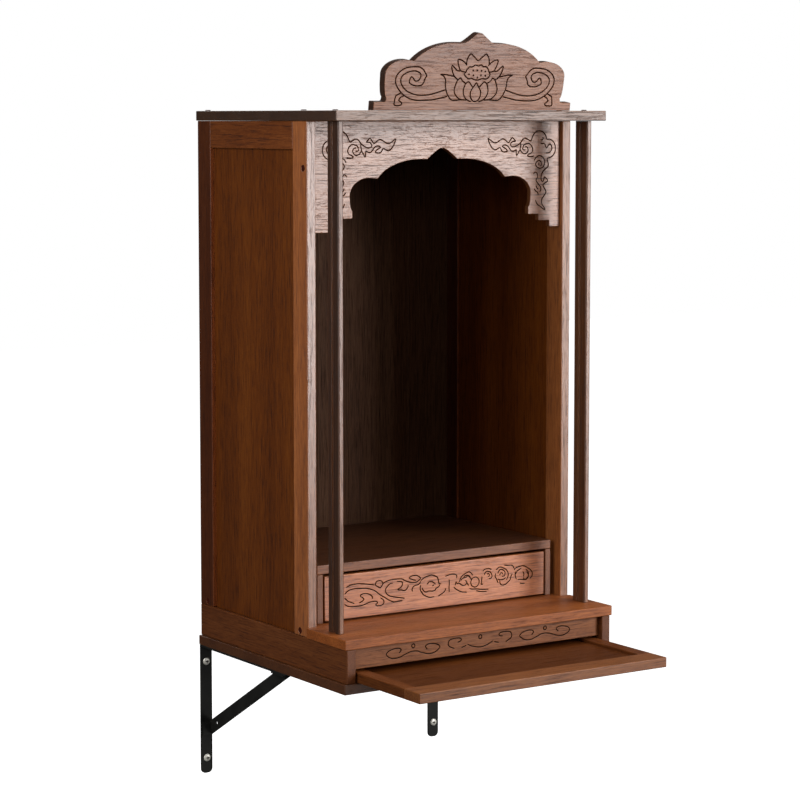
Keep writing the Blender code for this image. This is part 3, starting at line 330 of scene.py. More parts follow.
def flow(points, samples, closed=False, unit=MM):
    # a smooth line through a few turning points, with whether it closes
    n = len(points)
    spans = n if closed else n - 1
    out = []
    for i in range(spans):
        p1 = points[i]
        p2 = points[(i + 1) % n]
        p0 = points[(i - 1) % n] if closed or i > 0 else p1
        p3 = points[(i + 2) % n] if closed or i < n - 2 else p2
        for s in range(samples):
            t = s / samples
            w0 = -0.5 * t + t * t - 0.5 * t ** 3
            w1 = 1 - 2.5 * t * t + 1.5 * t ** 3
            w2 = 0.5 * t + 2 * t * t - 1.5 * t ** 3
            w3 = -0.5 * t * t + 0.5 * t ** 3
            u = w0 * p0[0] + w1 * p1[0] + w2 * p2[0] + w3 * p3[0]
            v = w0 * p0[1] + w1 * p1[1] + w2 * p2[1] + w3 * p3[1]
            out.append((u * unit, v * unit))
    if not closed:
        out.append((points[-1][0] * unit, points[-1][1] * unit))
    return (out, closed)


def mirrored_loop(half):
    return half + [(-p[0], p[1]) for p in reversed(half) if abs(p[0]) > 1e-6]


# valance: depths measured down from its top edge, widths out from the arch's middle
FOOT_STEP_WIDTHS = (0.0197, 0.0208, 0.0237)
FOOT_STEP_DEPTHS = (0.1435, 0.1535, 0.1634)
FOOT_SOFT = 0.002
ARCH_PEAK = ((0.0, 0.0406), (0.0045, 0.0413), (0.0163, 0.0485), (0.0272, 0.0570))
ARCH_LOBE_MIDDLE = 0.0396
ARCH_LOBE_SINK = 0.0165
ARCH_LOBE_SWELL = 0.0047
ARCH_CUSP_REACH = 0.0150
ARCH_CUSP_DEPTH = 0.0855
ARCH_CUSP_POINT = (0.008, 0.0846)
ARCH_SMALL_RADIUS = 0.0342
ARCH_SMALL_RISE = 0.0270
ARCH_WIDEST_DEPTH = 0.1110
ARCH_NECK_DROP = 0.0210
# crest: heights along the board from its lower edge
CREST_PEAK = ((0.0, 0.1142), (0.0040, 0.1133), (0.0093, 0.1096), (0.0201, 0.1020),
    (0.0258, 0.0990))
CREST_LOBE_MIDDLE = 0.0385
CREST_LOBE_SINK = 0.0310
CREST_LOBE_SWELL = 0.0050
CREST_CUSP_REACH = 0.0135
CREST_CUSP_HEIGHT = 0.0715
CREST_SMALL_RADIUS = 0.0350
CREST_SMALL_RISE = 0.0218
CREST_WIDEST_HEIGHT = 0.0513
CREST_NECK_DROP = 0.0328
CREST_FOOT_REACH = 0.0208
CREST_HOLLOW = (0.0035, 0.0150)
CREST_HOLLOW_RADIUS = 0.0030
CREST_FOOT_SHOULDER = 0.0108
CREST_FOOT_SOFT = 0.0012


def arch_half(half_width):
    # lower edge of the valance from the arch's peak outwards, as (x, depth)
    neck = half_width - sum(FOOT_STEP_WIDTHS)
    widest = neck + ARCH_LOBE_SWELL
    small = widest - ARCH_SMALL_RADIUS
    cusp = small - ARCH_CUSP_REACH
    top = ARCH_PEAK[-1][1]
    tall = ARCH_CUSP_DEPTH - top + ARCH_LOBE_SINK
    stop = math.asin(ARCH_LOBE_SINK / tall)
    reach = (cusp - ARCH_LOBE_MIDDLE) / math.cos(stop)
    pts = flow(ARCH_PEAK, 5, False, 1.0)[0]
    pts += bow((ARCH_LOBE_MIDDLE, top + tall), (reach, -tall), 90, math.degrees(stop), 26)
    pts.append((cusp + ARCH_CUSP_POINT[0], ARCH_CUSP_POINT[1]))
    pts += bow((small, ARCH_WIDEST_DEPTH), (ARCH_SMALL_RADIUS, -ARCH_SMALL_RISE), 90, 0, 20)
    pts += bow((neck, ARCH_WIDEST_DEPTH), (ARCH_LOBE_SWELL, ARCH_NECK_DROP), 30, 90, 8)
    x = neck
    soft = FOOT_SOFT
    for width, depth in zip(FOOT_STEP_WIDTHS, FOOT_STEP_DEPTHS):
        pts += bow((x + soft, depth - soft), (soft, soft), 180, 90, 5)
        x += width
        pts.append((x, depth))
    return pts[:-1]


def crest_half(half_width):
    # upper edge of the crest from the peak outwards, as (x, height)
    neck = half_width - CREST_FOOT_REACH
    widest = neck + CREST_LOBE_SWELL
    small = widest - CREST_SMALL_RADIUS
    cusp = small - CREST_CUSP_REACH
    top = CREST_PEAK[-1][1]
    tall = top - CREST_CUSP_HEIGHT + CREST_LOBE_SINK
    stop = math.asin(CREST_LOBE_SINK / tall)
    reach = (cusp - CREST_LOBE_MIDDLE) / math.cos(stop)
    pts = flow(CREST_PEAK, 4, False, 1.0)[0]
    pts += bow((CREST_LOBE_MIDDLE, top - tall), (reach, tall), 90, math.degrees(stop), 28)
    pts += bow((small, CREST_WIDEST_HEIGHT), (CREST_SMALL_RADIUS, CREST_SMALL_RISE), 100, 0, 24)
    pts += bow((neck, CREST_WIDEST_HEIGHT), (CREST_LOBE_SWELL, -CREST_NECK_DROP), 25, 90, 10)
    hollow = CREST_HOLLOW_RADIUS
    pts += bow((neck + CREST_HOLLOW[0], CREST_HOLLOW[1]), (hollow, -hollow), 180, 90, 5)
    soft = CREST_FOOT_SOFT
    pts += bow((half_width - soft, CREST_FOOT_SHOULDER), (soft, soft), 90, 0, 4)
    pts.append((half_width, 0.0))
    return pts


# carved lines in millimetres: each stroke becomes (points, closed)
def ring(centre, radii, steps):
    pts = []
    for i in range(steps):
        a = 2 * math.pi * i / steps
        pts.append(((centre[0] + radii[0] * math.cos(a)) * MM,
            (centre[1] + radii[1] * math.sin(a)) * MM))
    return (pts, True)


def both_sides(strokes):
    return strokes + [([(-p[0], p[1]) for p in pts], closed) for pts, closed in strokes]


def smooth(rows):
    return [flow(row, SAMPLES) for row in rows]


def lotus():
    # petals and seed pod above the middle of the crest, as (x, height)
    rows = [[(6.2, 34.2), (9.5, 38), (14, 42), (19, 39.3), (21, 34.5), (22.3, 28.5), (20.5, 22),
        (17, 17.3), (12, 14.2), (6, 13)]]
    rows.append([(19.2, 39.8), (25.5, 43.5), (28.3, 47.6), (33, 45.2), (36, 39.5), (38.5, 31),
        (37, 24.5), (33, 20), (29, 17.2), (24, 15.6), (14, 15.2)])
    rows.append([(32.5, 44.5), (36, 46.5), (40, 49.5), (46, 50.7), (57, 52.4), (65.5, 52.5)])
    rows.append([(65.2, 52.6), (60, 50.5), (56.8, 47.5), (55.4, 44), (55, 38), (53.5, 31), (51, 25),
        (47.5, 19.8), (43.5, 16), (39, 14.8), (30, 15.2), (24, 15.6)])
    rows.append([(29, 58.4), (35, 58), (39.5, 61.2), (45.5, 66), (45.8, 61.5), (44, 56.5),
        (41.3, 51.5), (38, 48), (33.5, 44.8)])
    rows.append([(20.5, 67.5), (24.5, 71), (29.5, 73.8), (35.7, 74.6), (35.2, 69), (33, 63.5),
        (30.3, 58.8), (26, 57), (21.3, 56.7)])
    rows.append([(19.8, 65.8), (20.3, 71.5), (18.5, 77.8), (15.3, 82.3), (12.8, 83), (9.5, 80.3),
        (5.5, 77.5), (0.3, 72.8)])
    lines = both_sides(smooth(rows))
    middle = [(0, 40.8), (3.5, 36), (7, 31.5), (9.3, 26), (8.2, 19), (4.5, 14.5), (0, 13),
        (-4.5, 14.5), (-8.2, 19), (-9.3, 26), (-7, 31.5), (-3.5, 36)]
    lines.append(flow(middle, SAMPLES, True))
    pod = [(-20, 56.5), (-18.5, 60.5), (-14, 64), (-9.5, 64), (-4, 66.8), (1, 65.6), (6, 67),
        (11, 64.5), (15, 64.6), (19, 61.5), (21, 56.8), (23.5, 53.5), (20.5, 48), (15.5, 46.2)]
    pod += [(10.5, 47), (3, 45), (-4, 45.3), (-9.5, 47.2), (-14.5, 46.4), (-20, 50), (-23.3, 53.5)]
    lines.append(flow(pod, SAMPLES, True))
    return lines


def crest_scroll():
    # one long line that rolls up, and a small hook under it
    roll = [(50, 20.5), (56, 19), (64, 17.5), (72, 15.8), (80, 15), (90, 14.5), (100, 14.3),
        (108, 15), (115, 16.5), (122, 19.5), (128, 23), (133, 27), (138, 32.5), (141.5, 38),
        (142.5, 43), (141.5, 49), (138, 54), (133, 58), (127, 61), (120, 62.5), (112, 63.3),
        (104, 63.2), (99, 61.5), (95, 58.5), (91.5, 54), (89, 50.5), (91, 47), (92.5, 44)]
    roll += [(93, 41), (95, 38), (99, 36), (106, 35.5), (112, 36.5), (117, 39), (118.5, 41),
        (117.5, 46), (115.5, 48.3), (113, 47.5), (110, 44), (106.5, 42.3), (103, 43.2),
        (100, 46.5), (99, 50.5), (101, 54), (105, 56), (111, 57.3), (119, 56), (125, 54)]
    roll += [(130, 51), (133, 47), (133.5, 43), (132, 38), (128, 33), (122, 28), (115, 25),
        (108, 23), (100, 22), (92, 22), (84, 22.5), (76, 24), (68, 26), (60, 28.5), (54, 30)]
    hook = [(132, 24.7), (135, 23.5), (139, 21.5), (140.5, 20), (141.5, 14), (142, 8.5), (140, 7),
        (135, 6.8), (131, 7.2), (128.5, 9.5), (131, 12), (134, 14), (134, 15.5),
        (131.5, 18.5), (128, 20.5), (126, 21)]
    return smooth([roll, hook])


def corner_cloud():
    # clouds and flames in one corner of the valance, as (x, depth)
    rows = [[(84, 26.5), (87.5, 28.3), (92, 31.5), (96, 33.3), (100.5, 33), (105, 30.5),
        (110, 27.8), (113.5, 27.6), (117.5, 29.8), (121, 32.5), (123.5, 33), (126, 29.5),
        (130, 25.6), (133, 28), (136, 31.2), (131.5, 31.4), (128.3, 33), (126.4, 36)]]
    rows[-1] += [(128, 38.7), (131, 39.7), (136, 39), (141, 36.6), (146, 33), (149.5, 28.6),
        (154, 26.6), (158, 27.6), (162, 29.8), (165.5, 30.5), (167.5, 26), (169.5, 22),
        (173, 18.2), (177, 16), (182, 15.2), (187, 16.2), (191, 19.2), (194, 23.5), (195.7, 28.2)]
    rows.append([(195.7, 28.6), (201, 28.4), (206, 30.5), (210, 34), (212, 39), (212.2, 45),
        (210.5, 50), (207, 54), (202, 56.5), (196.5, 58), (198.2, 64), (198.6, 69),
        (196.5, 72), (193, 74.4), (189, 77.5), (186, 82), (185, 87), (185.5, 91.5)])
    rows[-1] += [(187.5, 93.4), (190, 91.5), (190.7, 88), (191.7, 86.6), (194.8, 88.8),
        (197.6, 91.6), (196.5, 93.8), (192.5, 95.8), (189.5, 97.6), (188.7, 99.6),
        (190.5, 102.8), (193, 106.5), (194.4, 110), (192, 113.6), (189, 117.6), (186.6, 120.2)]
    rows[-1] += [(186.2, 124.5), (187, 128.5), (190, 132.5), (193, 136.7), (188.5, 135.6),
        (184, 132.3), (178.5, 128.8), (175.6, 124.6), (174.6, 121.6)]
    rows.append([(191.3, 34.5), (194.3, 40.8), (196.3, 41.2), (198.5, 37.8), (201.7, 35.7),
        (204.5, 38), (205.6, 42.5), (204, 46), (200, 49), (194, 49.6)])
    rows.append([(84, 26.5), (86, 32), (89, 37.5), (92.5, 41.6), (97, 44), (101, 43), (105, 40.9),
        (107.5, 41.3), (109.2, 44.6), (111.5, 46.9), (116, 47.3), (120.3, 46.2), (118.5, 43.3),
        (114, 40.6), (111, 38.9), (114, 37), (118, 37), (121.5, 38.9), (124.5, 42)])
    rows[-1] += [(127.5, 45.4), (131, 46.5), (135, 45.2), (137.3, 44.5), (137.2, 48.5),
        (138.3, 53), (140.5, 50.2), (142.5, 47), (145, 43.6)]
    rows.append([(149.8, 41), (151.5, 37.6), (155, 35.6), (161, 34.6), (165, 37), (168, 41),
        (168.6, 45.5), (166.3, 49), (162, 50.8), (159.4, 52.2), (160.2, 54.3), (165, 55),
        (171, 54)])
    rows.append([(146, 34.5), (145.6, 39), (144.8, 42.8), (146.5, 46.6), (150, 49.8), (154, 50.5),
        (158, 48.6), (160, 45.2), (159.3, 42), (157, 39.8), (154, 39.6)])
    rows.append([(149.8, 41.4), (149.6, 43.3), (152, 44.4), (155, 44.2)])
    rows.append([(171.5, 61.5), (174, 57.5), (180, 53.6), (186, 54.6), (190.5, 59), (191.6, 64.5),
        (190, 69.5), (187, 72), (182, 73.2), (176.8, 71), (174.6, 66.5), (177, 62.6), (181, 61),
        (184.6, 63.2), (185.6, 67.2), (184, 70.2)])
    rows.append([(180.5, 64.5), (180.6, 69)])
    rows.append([(170, 81.5), (174.5, 79), (178, 82), (178, 86.5), (175.6, 90.5), (177.5, 95),
        (181, 98.5), (184, 102), (184.6, 106), (182.5, 109.5)])
    rows.append([(175, 99.5), (177, 103), (179.3, 105.8)])
    rows.append([(172, 104.6), (175, 108.3), (178.3, 110.3), (179.6, 114)])
    rows.append([(187.5, 24.9), (188.8, 27), (186.3, 29.6), (183.5, 28.5)])
    rows.append([(183.5, 34.5), (188, 35), (190.4, 34.2)])
    return smooth(rows)


def drawer_scroll():
    # leaves and scrolls on the left, open flowers on the right, as (x, height)
    rows = [[(-165, 14), (-157.6, 16.6), (-147.6, 17.4), (-137.6, 16.9), (-127, 15),
        (-120.8, 13.8), (-113.9, 12.6)]]
    rows.append([(-99.7, 13.5), (-95.5, 15), (-90.3, 16.6), (-84, 17.5), (-76.6, 17.7),
        (-69.2, 17.4), (-64, 16.6), (-61, 14.6), (-56.8, 12.6), (-52.8, 11), (-46.6, 9.5),
        (-38.5, 9.5), (-33.4, 12), (-31.3, 14.1), (-32.3, 16.1), (-36.4, 18.7), (-41.5, 20)])
    rows[-1] += [(-47.7, 19.2), (-51.7, 17.2), (-49.7, 15.6), (-44.6, 13.6), (-39.5, 12)]
    rows.append([(-167.6, 4), (-165, 6.1), (-159.7, 9.3), (-150.3, 10.6), (-144, 10.6),
        (-136.6, 9.8), (-127, 8.5), (-120.8, 6.6), (-114.5, 4), (-109.2, 0.3), (-104, -3.9),
        (-96.6, -8.1), (-90.3, -12.3), (-85, -14.9), (-78.7, -17), (-70.3, -16.5), (-64, -16.5)])
    rows.append([(-167.6, -1.8), (-163, -6.5), (-157.6, -9.2), (-150.3, -12)])
    rows.append([(-168, -11.3), (-164, -13.9), (-157.6, -16), (-149.2, -16.8), (-136.6, -16.3),
        (-130.3, -14.6), (-122.9, -12.8), (-115.5, -12.3), (-109.7, -13.4), (-109.7, -16),
        (-113.4, -17.6)])
    rows.append([(-112.9, -19.2), (-104, -19.9), (-99.7, -18.6), (-97.6, -15.5), (-99.2, -11.3),
        (-104, -8.1)])
    rows.append([(-141.8, -11.5), (-136.6, -10), (-133.6, -7.1), (-136, -4.4), (-139.7, -2.3),
        (-138.7, 0.3), (-133.4, 1.4), (-127, 0.5), (-121.8, -1.8), (-118.2, -5.5),
        (-118.7, -8.1)])
    rows.append([(-81.8, 12.4), (-87, 11.4), (-92.4, 7.2), (-95, 2.4), (-92.9, -2.8),
        (-88.2, -6.5), (-79.7, -9.2), (-70.3, -11.3), (-60, -13.4)])
    rows.append([(-74.5, 13.5), (-66, 12.9), (-64, 9.8), (-66, 5), (-72.9, 1.2), (-66, 0),
        (-61, -1.7), (-56.8, 0.3), (-54.3, 3.4), (-53.6, 6.4)])
    rows.append([(-45.6, -4.3), (-46.6, -1.7), (-44.6, 2.4), (-40.5, 4.4), (-34.4, 5.4),
        (-30.4, 10)])
    rows.append([(-30.4, 10.6), (-25.2, 14.1), (-17, 16.7), (-9.9, 17.2), (-3.8, 15.1),
        (0.3, 12.6), (1.8, 7.5), (2.9, 3.4), (6.9, 1.9)])
    rows.append([(-28.3, -0.7), (-25.2, -5.8), (-21.1, -7.8), (-16, -6.8), (-8.9, -7.6),
        (-3.8, -6.3), (-2.8, -4.3)])
    rows.append([(-29, -5.7), (-26.4, -11.1), (-20.6, -14.5), (-12.9, -16.9), (-5.6, -16.4)])
    rows += [[(0.9, -16.5), (8.6, -13.4), (13.5, -10.1), (15.7, -5.5)], [(-9.4, 0.3), (-5.8, 1.9)]]
    rows.append([(14.8, 12.7), (20.2, 14.1), (27.2, 15.1), (33.4, 14.1), (36.2, 11.2),
        (35.7, 7.8)])
    rows.append([(21.7, 7.6), (22.2, 1.8), (21.7, -4.6), (21.9, -12.3)])
    rows.append([(41.1, 1.1), (43.5, 7.3), (48.2, 11.7), (58.3, 15.5), (63, 13.1), (66.5, 9.1)])
    rows.append([(44.3, 3.4), (46.6, 6.4), (52.1, 7.1), (57.1, 9.2), (61.1, 6.2), (63, 3.6)])
    rows.append([(30.6, -5.5), (35.7, -9.8), (41.9, -13), (48.2, -15), (55.2, -15.9)])
    rows.append([(36.5, -1.6), (39.6, 0), (43.5, -2.6), (48.9, -4.8), (53.6, -3.3), (55.2, 0),
        (51.8, 2.6)])
    rows += [[(59.9, -10.4), (64.6, -12.2), (72.4, -12.6), (81.9, -14.3), (96.1, -15.4)],
        [(72.4, -15.4), (80.3, -17.6), (92.9, -18.9)]]
    rows += [[(85, 13.5), (88.2, 16.4), (96.1, 16.9), (102.1, 14.9)], [(83.8, 5.9), (83.1, 0.8),
        (82.8, -5)]]
    rows.append([(88.2, 8), (90.1, 11.7), (93.7, 12.9), (99.6, 10.8), (102.7, 5.5), (100.8, 1.3),
        (96.1, 0.8)])
    rows.append([(110.3, 13.3), (115.9, 16.9), (121.8, 16.3), (129.4, 12.3), (133.6, 6.7),
        (133.4, 1.2), (130.2, -4)])
    rows.append([(113.8, 7.4), (115.9, 11.7), (120.7, 13.2), (125.5, 11), (127.8, 7.3),
        (126.3, 2.9), (121.5, 2.1)])
    rows.append([(109.7, 7.8), (108.8, 3.4), (111.9, -2.1), (114.5, -7.8)])
    rows.append([(117.5, -4), (118.6, -9.3), (123.1, -11.7), (128.6, -10.9), (133, -8.1),
        (137.4, -4.7), (139, 0.4), (141.4, 4.7)])
    rows.append([(144.6, 10.2), (148.7, 13.1), (155.1, 14.4), (163.1, 14.9), (171.2, 10.9),
        (177.7, 6.3), (180.6, 1.4), (179.3, -3.6), (175.2, -6.6)])
    rows += [[(148.3, 3.3), (150.3, 7), (154.3, 9.5), (159.1, 11.4)], [(161.8, 5.9), (164.1, 1.8),
        (163.1, -2.3)]]
    rows.append([(167.6, 8.6), (172, 5.2), (173.1, 0.2), (170.9, -4.4), (165.5, -7.2),
        (158.3, -6.2), (151.9, -6.1)])
    # fine curls inside the flowers
    rows += [
        [(48.9, 6.2), (50.6, 9.6), (54.9, 10.6), (59.6, 9), (61.9, 5.5)],
        [(54.2, 0.2), (56, -2.7), (58.6, -6)],
        [(33.2, -3.2), (34.6, 2.2), (36.4, -0.4)],
        [(93, 8.2), (96.2, 9), (97.6, 6.2), (95.4, 4)],
        [(81.1, -5), (83.4, -6.5), (85.8, -5.9)],
        [(117.6, 4), (118.8, 7.4), (122, 7.6), (122.6, 5.4)],
        [(113.6, -1), (118, -3), (124.5, -2.8), (129, -0.4)],
        [(125.5, 19.7), (133.5, 18.2), (141, 17.7), (143.5, 15.3), (144.7, 12.5)],
        [(147.9, 7.5), (147.2, 1.4), (149.5, -5.2)],
        [(162.3, -4), (166.5, -7.3), (171.7, -5.2), (172.9, -0.6), (169.3, 5.1)],
        [(156.1, -11.8), (161, -13), (165.8, -13.1)],
        [(-30.6, 4), (-31.7, -2), (-29.1, -8.4)],
        [(-19.1, 3.7), (-15.2, 7.2), (-8.6, 6.5), (-3.3, 2.5)],
        [(-3.9, -4), (1.9, -2.4), (4.6, 1.3)]]
    drop = [(-113, 13.5), (-111.5, 17), (-107, 18.3), (-102.5, 17.5), (-99.7, 14), (-101, 10.5),
        (-104.5, 7.2), (-108, 9), (-112, 11.5)]
    return smooth(rows) + [flow(drop, SAMPLES, True), ring((70.4, -1.6), (7.9, 7.8), 30)]


def apron_scroll():
    # running waves with end curls and small rings, as (x, height)
    rows = [[(41.7, 4.2), (37.1, 4.6), (34.4, 6.9), (36.2, 9.2), (40.8, 10.1), (48, 10.1),
        (54.4, 9.2), (57.6, 6), (58, 2.4), (56.2, -0.8), (51.7, -3.1), (47.1, -5.4)]]
    rows.append([(95.8, -0.4), (98, 2.4), (99, 4.2), (96.2, 6.5), (90.8, 7.4), (82.6, 6.5),
        (76.2, 4.2), (73, 1), (74.4, -1.3), (78, -4), (82.6, -6.3), (89, -7.5), (96, -7)])
    rows[-1] += [(103, -4.7), (107.6, -3.5), (112.1, -1.3), (120.3, -0.4), (127.6, -1.3),
        (134.9, -3.5), (142.1, -6), (149.4, -7.5), (156.7, -7.2), (162.1, -5.4), (166.2, -2.6),
        (168, 0.1), (166.2, 2.8), (162.1, 5.1), (155.8, 6.7), (149.4, 7.2), (144, 6)]
    rows[-1] += [(142.1, 4.2), (143, 1.9), (146.2, -0.4)]
    rows.append([(34.4, -5.1), (30, -4), (25.3, -2.6)])
    lines = both_sides(smooth(rows) + [ring((120.5, 7.4), (2.8, 2.8), 16)])
    middle = [(-23.5, -1.1), (-18, -3.9), (-10, -6.4), (0, -8), (10, -6.8), (17, -4.2),
        (23.5, -1.2)]
    return lines + smooth([middle]) + [ring((0, 7.4), (2.9, 2.9), 16)]


def shifted(strokes, du, dv, flip=False):
    sign = -1 if flip else 1
    return [([(p[0] + du, sign * p[1] + dv) for p in pts], closed) for pts, closed in strokes]


# mesh building
def new_object(name, verts, faces, mat):
    mesh = bpy.data.meshes.new(name)
    mesh.from_pydata(verts, [], faces)
    work = bmesh.new()
    work.from_mesh(mesh)
    bmesh.ops.recalc_face_normals(work, faces=work.faces)
    work.to_mesh(mesh)
    work.free()
    mesh.materials.append(mat)
    obj = bpy.data.objects.new(name, mesh)
    bpy.context.scene.collection.objects.link(obj)
    return obj


def prism(name, outline, y0, y1, mat):
    # an outline in X and Z, drawn out along Y
    n = len(outline)
    verts = [(p[0], y0, p[1]) for p in outline] + [(p[0], y1, p[1]) for p in outline]
    faces = [tuple(range(n)), tuple(range(2 * n - 1, n - 1, -1))]
    faces += [(i, (i + 1) % n, n + (i + 1) % n, n + i) for i in range(n)]
    return new_object(name, verts, faces, mat)


def slab(name, outline, y0, y1, mat):
    # a board cut to an outline, with softly rounded edges
    obj = prism(name, outline, y0, y1, mat)
    work = bmesh.new()
    work.from_mesh(obj.data)
    rims = [e for e in work.edges if abs(e.verts[0].co.y - e.verts[1].co.y) < 1e-7]
    bmesh.ops.bevel(work, geom=rims, offset=EDGE_ROUND, segments=2, profile=0.5,
        affect="EDGES", clamp_overlap=True)
    work.to_mesh(obj.data)
    work.free()
    return obj


def groove_cutter(name, strokes, y_face, size, dots=()):
    # a tube with a rounded bottom along each stroke, and a small cone at each dot
    m = len(GROOVE_SECTION)
    half = size[0] / 2
    depth = size[1]
    verts = []
    faces = []
    for pts, closed in strokes:
        n = len(pts)
        first = len(verts)
        for i, (u, v) in enumerate(pts):
            a = pts[i - 1] if closed or i > 0 else pts[i]
            b = pts[(i + 1) % n] if closed or i < n - 1 else pts[i]
            du = b[0] - a[0]
            dv = b[1] - a[1]
            span = math.hypot(du, dv)
            thin = STROKE_END if not closed and i in (0, n - 1) else 1.0
            for s, h in GROOVE_SECTION:
                k = s * half * thin
                verts.append((u - dv / span * k, y_face + h * depth, v + du / span * k))
        for i in range(n if closed else n - 1):
            a = first + m * i
            b = first + m * ((i + 1) % n)
            for j in range(m):
                k = (j + 1) % m
                faces.append((a + j, b + j, b + k, a + k))
        if not closed:
            last = first + m * (n - 1)
            faces.append(tuple(first + j for j in range(m)))
            faces.append(tuple(last + m - 1 - j for j in range(m)))
    n = SEED_SIDES
    for u, v in dots:
        first = len(verts)
        for h, k in SEED_SECTION:
            r = SEED_RADIUS * k
            for i in range(n):
                a = 2 * math.pi * i / n
                verts.append((u + r * math.cos(a), y_face + h * depth, v + r * math.sin(a)))
        faces.append(tuple(range(first, first + n)))
        faces.append(tuple(range(first + 3 * n - 1, first + 2 * n - 1, -1)))
        for row in (0, n):
            for i in range(n):
                a = first + row + i
                b = first + row + (i + 1) % n
                faces.append((a, b, b + n, a + n))
    return new_object(name, verts, faces, burnt)


def apply_all(obj):
    view = bpy.context.evaluated_depsgraph_get()
    mesh = bpy.data.meshes.new_from_object(obj.evaluated_get(view))
    obj.modifiers.clear()
    old = obj.data
    obj.data = mesh
    bpy.data.meshes.remove(old)
    return obj


def cut(obj, cutter, crossing=True):
    # carve the cutter out of the piece; crossing is for cutters that cross themselves
    mod = obj.modifiers.new("carve", "BOOLEAN")
    mod.operation = "DIFFERENCE"
    mod.solver = "EXACT"
    mod.use_self = crossing
    mod.material_mode = "TRANSFER"
    mod.object = cutter
    apply_all(obj)
    bpy.data.objects.remove(cutter, do_unlink=True)
    return obj


def soften(obj, angle=40):
    # smooth shading that keeps the flat faces flat
    for face in obj.data.polygons:
        face.use_smooth = True
    obj.data.set_sharp_from_angle(angle=math.radians(angle))
    mod = obj.modifiers.new("normals", "WEIGHTED_NORMAL")
    mod.keep_sharp = True
    mod.weight = 80
    return apply_all(obj)


def settle(obj, body, slot, *stands_for):
    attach(obj, body)
    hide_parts(*stands_for)
    return obj


def lathe(name, centre, axis, sign, profile, mat, steps=28):
    # profile is (radius, height) from the rim to the middle, height along the axis
    verts = []
    faces = []
    for r, h in profile:
        for i in range(steps):
            a = 2 * math.pi * i / steps
            p = {"X": (sign * h, r * math.cos(a), r * math.sin(a)),
                "Y": (r * math.cos(a), sign * h, r * math.sin(a)),
                "Z": (r * math.cos(a), r * math.sin(a), sign * h)}[axis]
            verts.append((centre[0] + p[0], centre[1] + p[1], centre[2] + p[2]))
    rows = len(profile)
    for row in range(rows - 1):
        for i in range(steps):
            k = (i + 1) % steps
            a = row * steps
            faces.append((a + i, a + k, a + steps + k, a + steps + i))
    faces.append(tuple(range(steps)))
    faces.append(tuple(range((rows - 1) * steps, rows * steps)))
    return new_object(name, verts, faces, mat)


# carved boards
def rectangle(lo, hi):
    return [(lo.x, lo.z), (hi.x, lo.z), (hi.x, hi.z), (lo.x, hi.z)]


def lean(obj, y_foot, z_foot):
    # tip the crest forward about its lower front edge, and keep its foot level
    for vert in obj.data.vertices:
        back = vert.co.y
        foot = -back * math.tan(LEAN)
        up = foot if vert.co.z < 1e-6 else max(vert.co.z, foot)
        vert.co.y = y_foot + back * math.cos(LEAN) - up * math.sin(LEAN)
        vert.co.z = z_foot + back * math.sin(LEAN) + up * math.cos(LEAN)
    return obj


lo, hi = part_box("crest")
crest = slab("crest_board", mirrored_loop(crest_half(hi.x)), 0.0, CREST_THICK, wood_crest)
seeds = ((-7.5, 59), (0, 59), (7.5, 58.5), (14.5, 57.5), (-14.5, 53), (-6.5, 51.5), (1, 48.5),
    (7, 51.8), (15, 51.5))
dots = [(u * MM, v * MM) for u, v in seeds]
lines = lotus() + both_sides(crest_scroll())
cut(crest, groove_cutter("crest_grooves", lines, 0.0, CREST_GROOVE, dots))
lean(crest, hi.y - CREST_THICK / math.cos(LEAN), lo.z)
settle(soften(crest), "cabinet", "front_wood", "crest")

lo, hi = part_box("valance")
half = arch_half(hi.x)
loop = [(ARCH_OFFSET + p[0], hi.z - p[1]) for p in half]
loop += [(hi.x, lo.z), (hi.x, hi.z), (lo.x, hi.z), (lo.x, lo.z)]
loop += [(ARCH_OFFSET - p[0], hi.z - p[1]) for p in reversed(half[1:])]
valance = slab("valance_board", loop, lo.y, hi.y, wood_front)
lines = shifted(both_sides(corner_cloud()), ARCH_OFFSET, hi.z, True)
cut(valance, groove_cutter("valance_grooves", lines, lo.y, VALANCE_GROOVE))
settle(soften(valance), "cabinet", "front_wood", "valance")

lo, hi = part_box("drawer_front")
face = slab("drawer_face", rectangle(lo, hi), lo.y, hi.y, wood_drawer)
lines = shifted(drawer_scroll(), 0.0, (lo.z + hi.z) / 2)
cut(face, groove_cutter("drawer_grooves", lines, lo.y, LOW_GROOVE))
settle(soften(face), "drawer", "front_wood", "drawer_front")

lo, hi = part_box("apron")
apron = slab("apron_board", rectangle(lo, hi), lo.y, hi.y, wood_apron)
lines = shifted(apron_scroll(), APRON_OFFSET, (lo.z + hi.z) / 2)
cut(apron, groove_cutter("apron_grooves", lines, lo.y, LOW_GROOVE))
settle(soften(apron), "cabinet", "front_wood", "apron")

